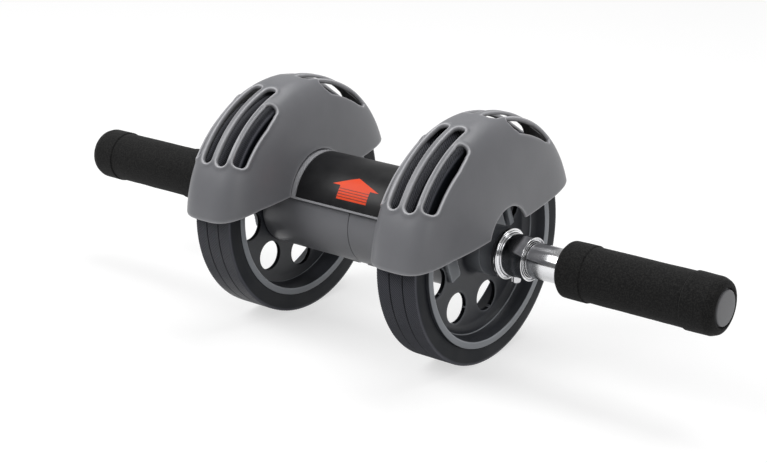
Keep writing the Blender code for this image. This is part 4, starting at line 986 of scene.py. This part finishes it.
def make_axle_tube():
    outline = [(-x, r, rounding) for x, r, rounding in AXLE_END[::-1]] + AXLE_END
    tube = add_turned("axle_tube_chromed", 1, outline, ROUND_STEPS, "chrome", "axle_tube")
    for side, _ in SIDES:
        drill_button_hole(tube, side)


def make_handle(side, label):
    name = label + "_handle_"
    tube = add_turned(name + "chromed", side, HANDLE_TUBE, ROUND_STEPS, "chrome", name + "tube")
    drill_button_hole(tube, side)
    add_turned(label + "_collar_chromed", side, COLLAR, ROUND_STEPS, "chrome", label + "_collar")
    add_turned(label + "_cap_moulding", side, END_CAP, CAP_STEPS, "cap_plastic", label + "_end_cap")


def make_grip(side, label):
    """Foam sleeve with a thicker band at each end, slightly uneven as cut foam is."""
    outline = []
    corners = softened(GRIP, 6)
    for here, after in zip(corners, corners[1:] + corners[:1]):
        count = max(1, ceil(hypot(after[0] - here[0], after[1] - here[1]) / GRIP_CELL))
        outline += [
            (here[0] + (after[0] - here[0]) * i / count, here[1] + (after[1] - here[1]) * i / count)
            for i in range(count)
        ]

    def uneven(x, r, angle):
        if r < GRIP_INSIDE:
            return x, r
        spot = Vector((side * x, r * cos(angle), r * sin(angle)))
        wave, grain = (noise.noise(spot / length) * height for length, height in (GRIP_WAVE, GRIP_GRAIN))
        return x, r + wave + grain

    points = turned_points(side, outline, ROUND_STEPS, uneven)
    name, faces = label + "_grip", turned_faces(len(outline), ROUND_STEPS)
    piece = add_piece(name + "_foam", points, faces, "body", "grip_foam", name, sharp=60.0)


def make_button(side, label):
    """A bright pin with a domed tip, which stands out below the sleeve."""
    points = []
    for i in range(BUTTON_STEPS):
        angle = 2 * pi * i / BUTTON_STEPS
        points += [
            (side * BUTTON_OFFSET + r * MM * cos(angle), r * MM * sin(angle), AXLE.z - below * MM)
            for r, below in BUTTON_LINE
        ]
    name, faces = label + "_button", turned_faces(len(BUTTON_LINE), BUTTON_STEPS, closed=False)
    add_piece(name + "_pin", points, faces, name, "zinc_steel", label + "_snap_button", sharp=40.0)


def make_barrel(side, label):
    name = "barrel_moulding_" + label
    piece = add_turned(name, side, BARREL, BARREL_STEPS, "hood_plastic", "barrel_" + label)
    for under, over in zip(ANCHOR_SCREW_ANGLES, SADDLE_SCREW_ANGLES):
        x = side * ANCHOR_SCREW_OFFSET
        sink = drill(x, ANCHOR_SINK, under, SINK_RADIUS)
        carve(piece, sink, drill(x, ANCHOR_SHAFT, under, SHAFT_RADIUS))
        carve(piece, drill(side * SADDLE_SCREW_OFFSET, SADDLE_SHAFT, over, SHAFT_RADIUS, COVER_RISE))


def cover_height(x, angle):
    """Radius of the cover's top, with its raised frame and the recess for the label, in millimetres."""
    edge = min(angle, pi - angle)
    if abs(x) < RECESS_HALF and edge > COVER_EDGE + COVER_BORDER + 0.005:
        return RECESS_TOP
    return FRAME_TOP if abs(x) < FRAME_HALF else COVER_TOP


def cover_rounding(x, angle):
    """How far the cover's outer and inner corners are cut back, in millimetres."""
    if abs(x) > 66.9 or min(angle, pi - angle) < COVER_EDGE + 0.001:
        return 0.3
    return 0.25 if abs(x) == 50.1 else 0.0


def cover_grid():
    """Angles, and places along the axle in millimetres, of the cover's columns and rows of points."""
    xs = [-67.0, -66.7, -60.0, -53.8, -53.65, -53.3, -50.1, -49.7, -49.5, -40.0, -20.0]
    inner = COVER_EDGE + COVER_BORDER
    angles = [COVER_EDGE, COVER_EDGE + 0.006, inner - 0.008, inner, inner + 0.006]
    middle = list(np.linspace(inner + 0.05, pi - inner - 0.05, 65))
    return angles + middle + [pi - a for a in angles[::-1]], xs + [0.0] + [-x for x in xs[::-1]]


def make_cover():
    """A curved plate with a raised frame round the label's recess, and three ribs down to the barrel."""
    sheet = Sheet(*cover_grid())
    outer = [
        radial(x * MM, (cover_height(x, angle) - cover_rounding(x, angle)) * MM, angle, COVER_RISE)
        for angle, x in sheet.points
    ]
    inner = [radial(x * MM, COVER_INNER, angle, COVER_RISE) for angle, x in sheet.points]
    points, faces = sheet.shell(outer, inner)
    top_radius, base_radius = COVER_RIB_RADII
    for middle in COVER_RIBS:
        low, high = (middle - COVER_RIB_HALF) * MM, (middle + COVER_RIB_HALF) * MM
        rib = []
        for angle in np.linspace(COVER_EDGE + COVER_RIB_END, pi - COVER_EDGE - COVER_RIB_END, 41):
            top = radial(0.0, top_radius, angle, COVER_RISE)
            base = radial(0.0, base_radius, atan2(top.z - AXLE.z, top.y))
            corners = ((low, base), (high, base), (high, top), (low, top))
            rib.append([Vector((x, spot.y, spot.z)) for x, spot in corners])
        add_slab(points, faces, rib)
    # Painted highlight on the raised frame.
    highlight = [frame_highlight(*p) for p in points]
    add_piece("upper_cover_moulding", points, faces, "body", "hood_plastic", "upper_cover", edge=highlight)


def frame_highlight(x, y, z):
    """How much painted highlight the cover's plastic has here: on the raised frame."""
    height = z - AXLE.z - COVER_RISE
    angle = atan2(height, y)
    start, end = FRAME_HIGHLIGHT_ENDS
    raised = hypot(height, y) > FRAME_HIGHLIGHT_RADIUS and abs(x) < end
    border = abs(x) > start or min(angle, pi - angle) < COVER_EDGE + COVER_BORDER
    return FRAME_HIGHLIGHT if raised and border else 0.0


def add_patch(points, faces, outline, low, high):
    """Adds a thin closed plate on the cover: outline is (x in millimetres, angle) corners."""
    add_slab(points, faces, [
        [radial(x * MM, radius, angle, COVER_RISE) for x, angle in outline] for radius in (low, high)
    ])


def make_label():
    """The film in the cover's recess."""
    section = ((-49.3, 33.8), (49.3, 33.8), (49.3, 34.25), (49.1, 34.35), (-49.1, 34.35), (-49.3, 34.25))
    end = radians(13.4)
    points, faces = [], []
    add_slab(points, faces, [
        [radial(x * MM, radius * MM, angle, COVER_RISE) for x, radius in section]
        for angle in np.linspace(end, pi - end, 73)
    ])
    add_piece("label_film_panel", points, faces, "body", "label_film", "label_panel")


def make_arrow():
    """The arrow printed on the film: a head in strips that follow its curve, and a shaft of five bars."""
    points, faces = [], []
    base, top = 0.03430, 0.03442
    tip, shoulder, foot = radians(125.6), radians(139.6), radians(156.7)
    tip_x, left_x, right_x = 0.7, -19.4, 23.2
    shaft_left, shaft_right = -12.0, 15.5
    strips = 8
    for i in range(strips):
        a, b = tip + (shoulder - tip) * i / strips, tip + (shoulder - tip) * (i + 1) / strips
        left, right = (
            [tip_x + (far_x - tip_x) * k / strips for k in (i, i + 1)] for far_x in (left_x, right_x)
        )
        outline = [(left[0], a), (right[0], a), (right[1], b), (left[1], b)]
        add_patch(points, faces, outline[0:1] + outline[2:] if i == 0 else outline, base, top)
    bars, gap = 5, radians(0.75)
    pitch = (foot - shoulder) / bars
    for i in range(bars):
        start, end = shoulder + pitch * i + (0 if i == 0 else gap), shoulder + pitch * (i + 1)
        middle = (start + end) / 2
        for a, b in ((start, middle), (middle, end)):
            bar = [(shaft_left, a), (shaft_right, a), (shaft_right, b), (shaft_left, b)]
            add_patch(points, faces, bar, base, top)
    add_piece("direction_arrow", points, faces, "body", "label_film", material=ARROW_INK)


def dress_nodes():
    """Gives the CAD nodes that stay as they are their slot's material."""
    slots = {row["node"]: row["material_slot"] for row in frame["record"]["subparts"]}
    for name, obj in frame["nodes"].items():
        obj.data.materials.clear()
        obj.data.materials.append(MATERIALS[slots[name]])


def add_floor():
    """A pale floor that takes shadows, and glows white for the camera and clear reflections."""
    mesh = bpy.data.meshes.new("floor")
    corners = [(x * FLOOR_REACH, y * FLOOR_REACH, 0) for x, y in ((-1, -1), (1, -1), (1, 1), (-1, 1))]
    mesh.from_pydata(corners, [], [(0, 1, 2, 3)])
    floor = add_object("floor", mesh)
    material, tree, shader = build_material("floor_pale", FLOOR_GREY, 0.9)
    shader.inputs["Specular IOR Level"].default_value = 0.0
    seen = node(tree, "LightPath")
    clear = seen.outputs["Is Camera Ray"]
    for ray in ("Is Glossy Ray", "Is Transmission Ray"):
        either = node(tree, "Math", operation="MAXIMUM")
        tree.links.new(clear, either.inputs[0])
        tree.links.new(seen.outputs[ray], either.inputs[1])
        clear = either.outputs[0]
    far = node(tree, "VectorMath", operation="LENGTH", Vector=own_place(tree))
    ends = dict(zip(("From Min", "From Max", "To Min", "To Max"), GLOW_DISTANCES + FLOOR_GLOW))
    rise = node(tree, "MapRange", Value=far.outputs["Value"], **ends)
    strength = node(tree, "Math", operation="MULTIPLY")
    tree.links.new(clear, strength.inputs[0])
    tree.links.new(rise.outputs[0], strength.inputs[1])
    shader.inputs["Emission Color"].default_value = (1.0, 1.0, 1.0, 1.0)
    tree.links.new(strength.outputs[0], shader.inputs["Emission Strength"])
    floor.data.materials.append(material)


def add_world():
    """Soft surroundings that are paler behind the object than in front of it."""
    world = bpy.data.worlds.new("studio")
    world.use_nodes = True
    tree = world.node_tree
    split = node(tree, "SeparateXYZ", Vector=node(tree, "TexCoord").outputs["Generated"])
    back, front = (ramp(tree, split.outputs["Z"], stops) for stops in (WORLD_BACK, WORLD_FRONT))
    facing = node(tree, "Math", operation="MULTIPLY_ADD")
    tree.links.new(split.outputs["Y"], facing.inputs[0])
    facing.inputs[1].default_value, facing.inputs[2].default_value = WORLD_TURN
    turn = ramp(tree, facing.outputs[0], ((0.0, 1.0), (1.0, 0.0)))
    background = tree.nodes["Background"]
    tree.links.new(blended(tree, turn, back, front), background.inputs["Color"])
    background.inputs["Strength"].default_value = WORLD_STRENGTH
    bpy.context.scene.world = world


def add_lamps():
    for name, place, size, power in LAMPS:
        light = bpy.data.lights.new(name, "AREA")
        light.shape = "RECTANGLE"
        light.size, light.size_y = size
        light.energy = power
        lamp = add_object(name, light)
        lamp.location = place
        lamp.rotation_euler = (LAMP_TARGET - Vector(place)).to_track_quat("-Z", "Y").to_euler()


def add_camera():
    camera = add_object("camera", bpy.data.cameras.new("camera"))
    camera.location = CAMERA_PLACE
    camera.rotation_euler = (radians(90) - CAMERA_PITCH, 0, CAMERA_YAW)
    camera.data.lens = CAMERA_LENS
    camera.data.clip_end = 30.0
    bpy.context.scene.camera = camera


bpy.context.scene.view_settings.view_transform = "Standard"
add_floor()
add_world()
add_lamps()
add_camera()
dress_nodes()
make_axle_tube()
make_cover()
make_label()
make_arrow()
for hand in SIDES:
    for make in (make_hood, make_wheel, make_tyre, make_handle, make_grip, make_button, make_barrel):
        make(*hand)
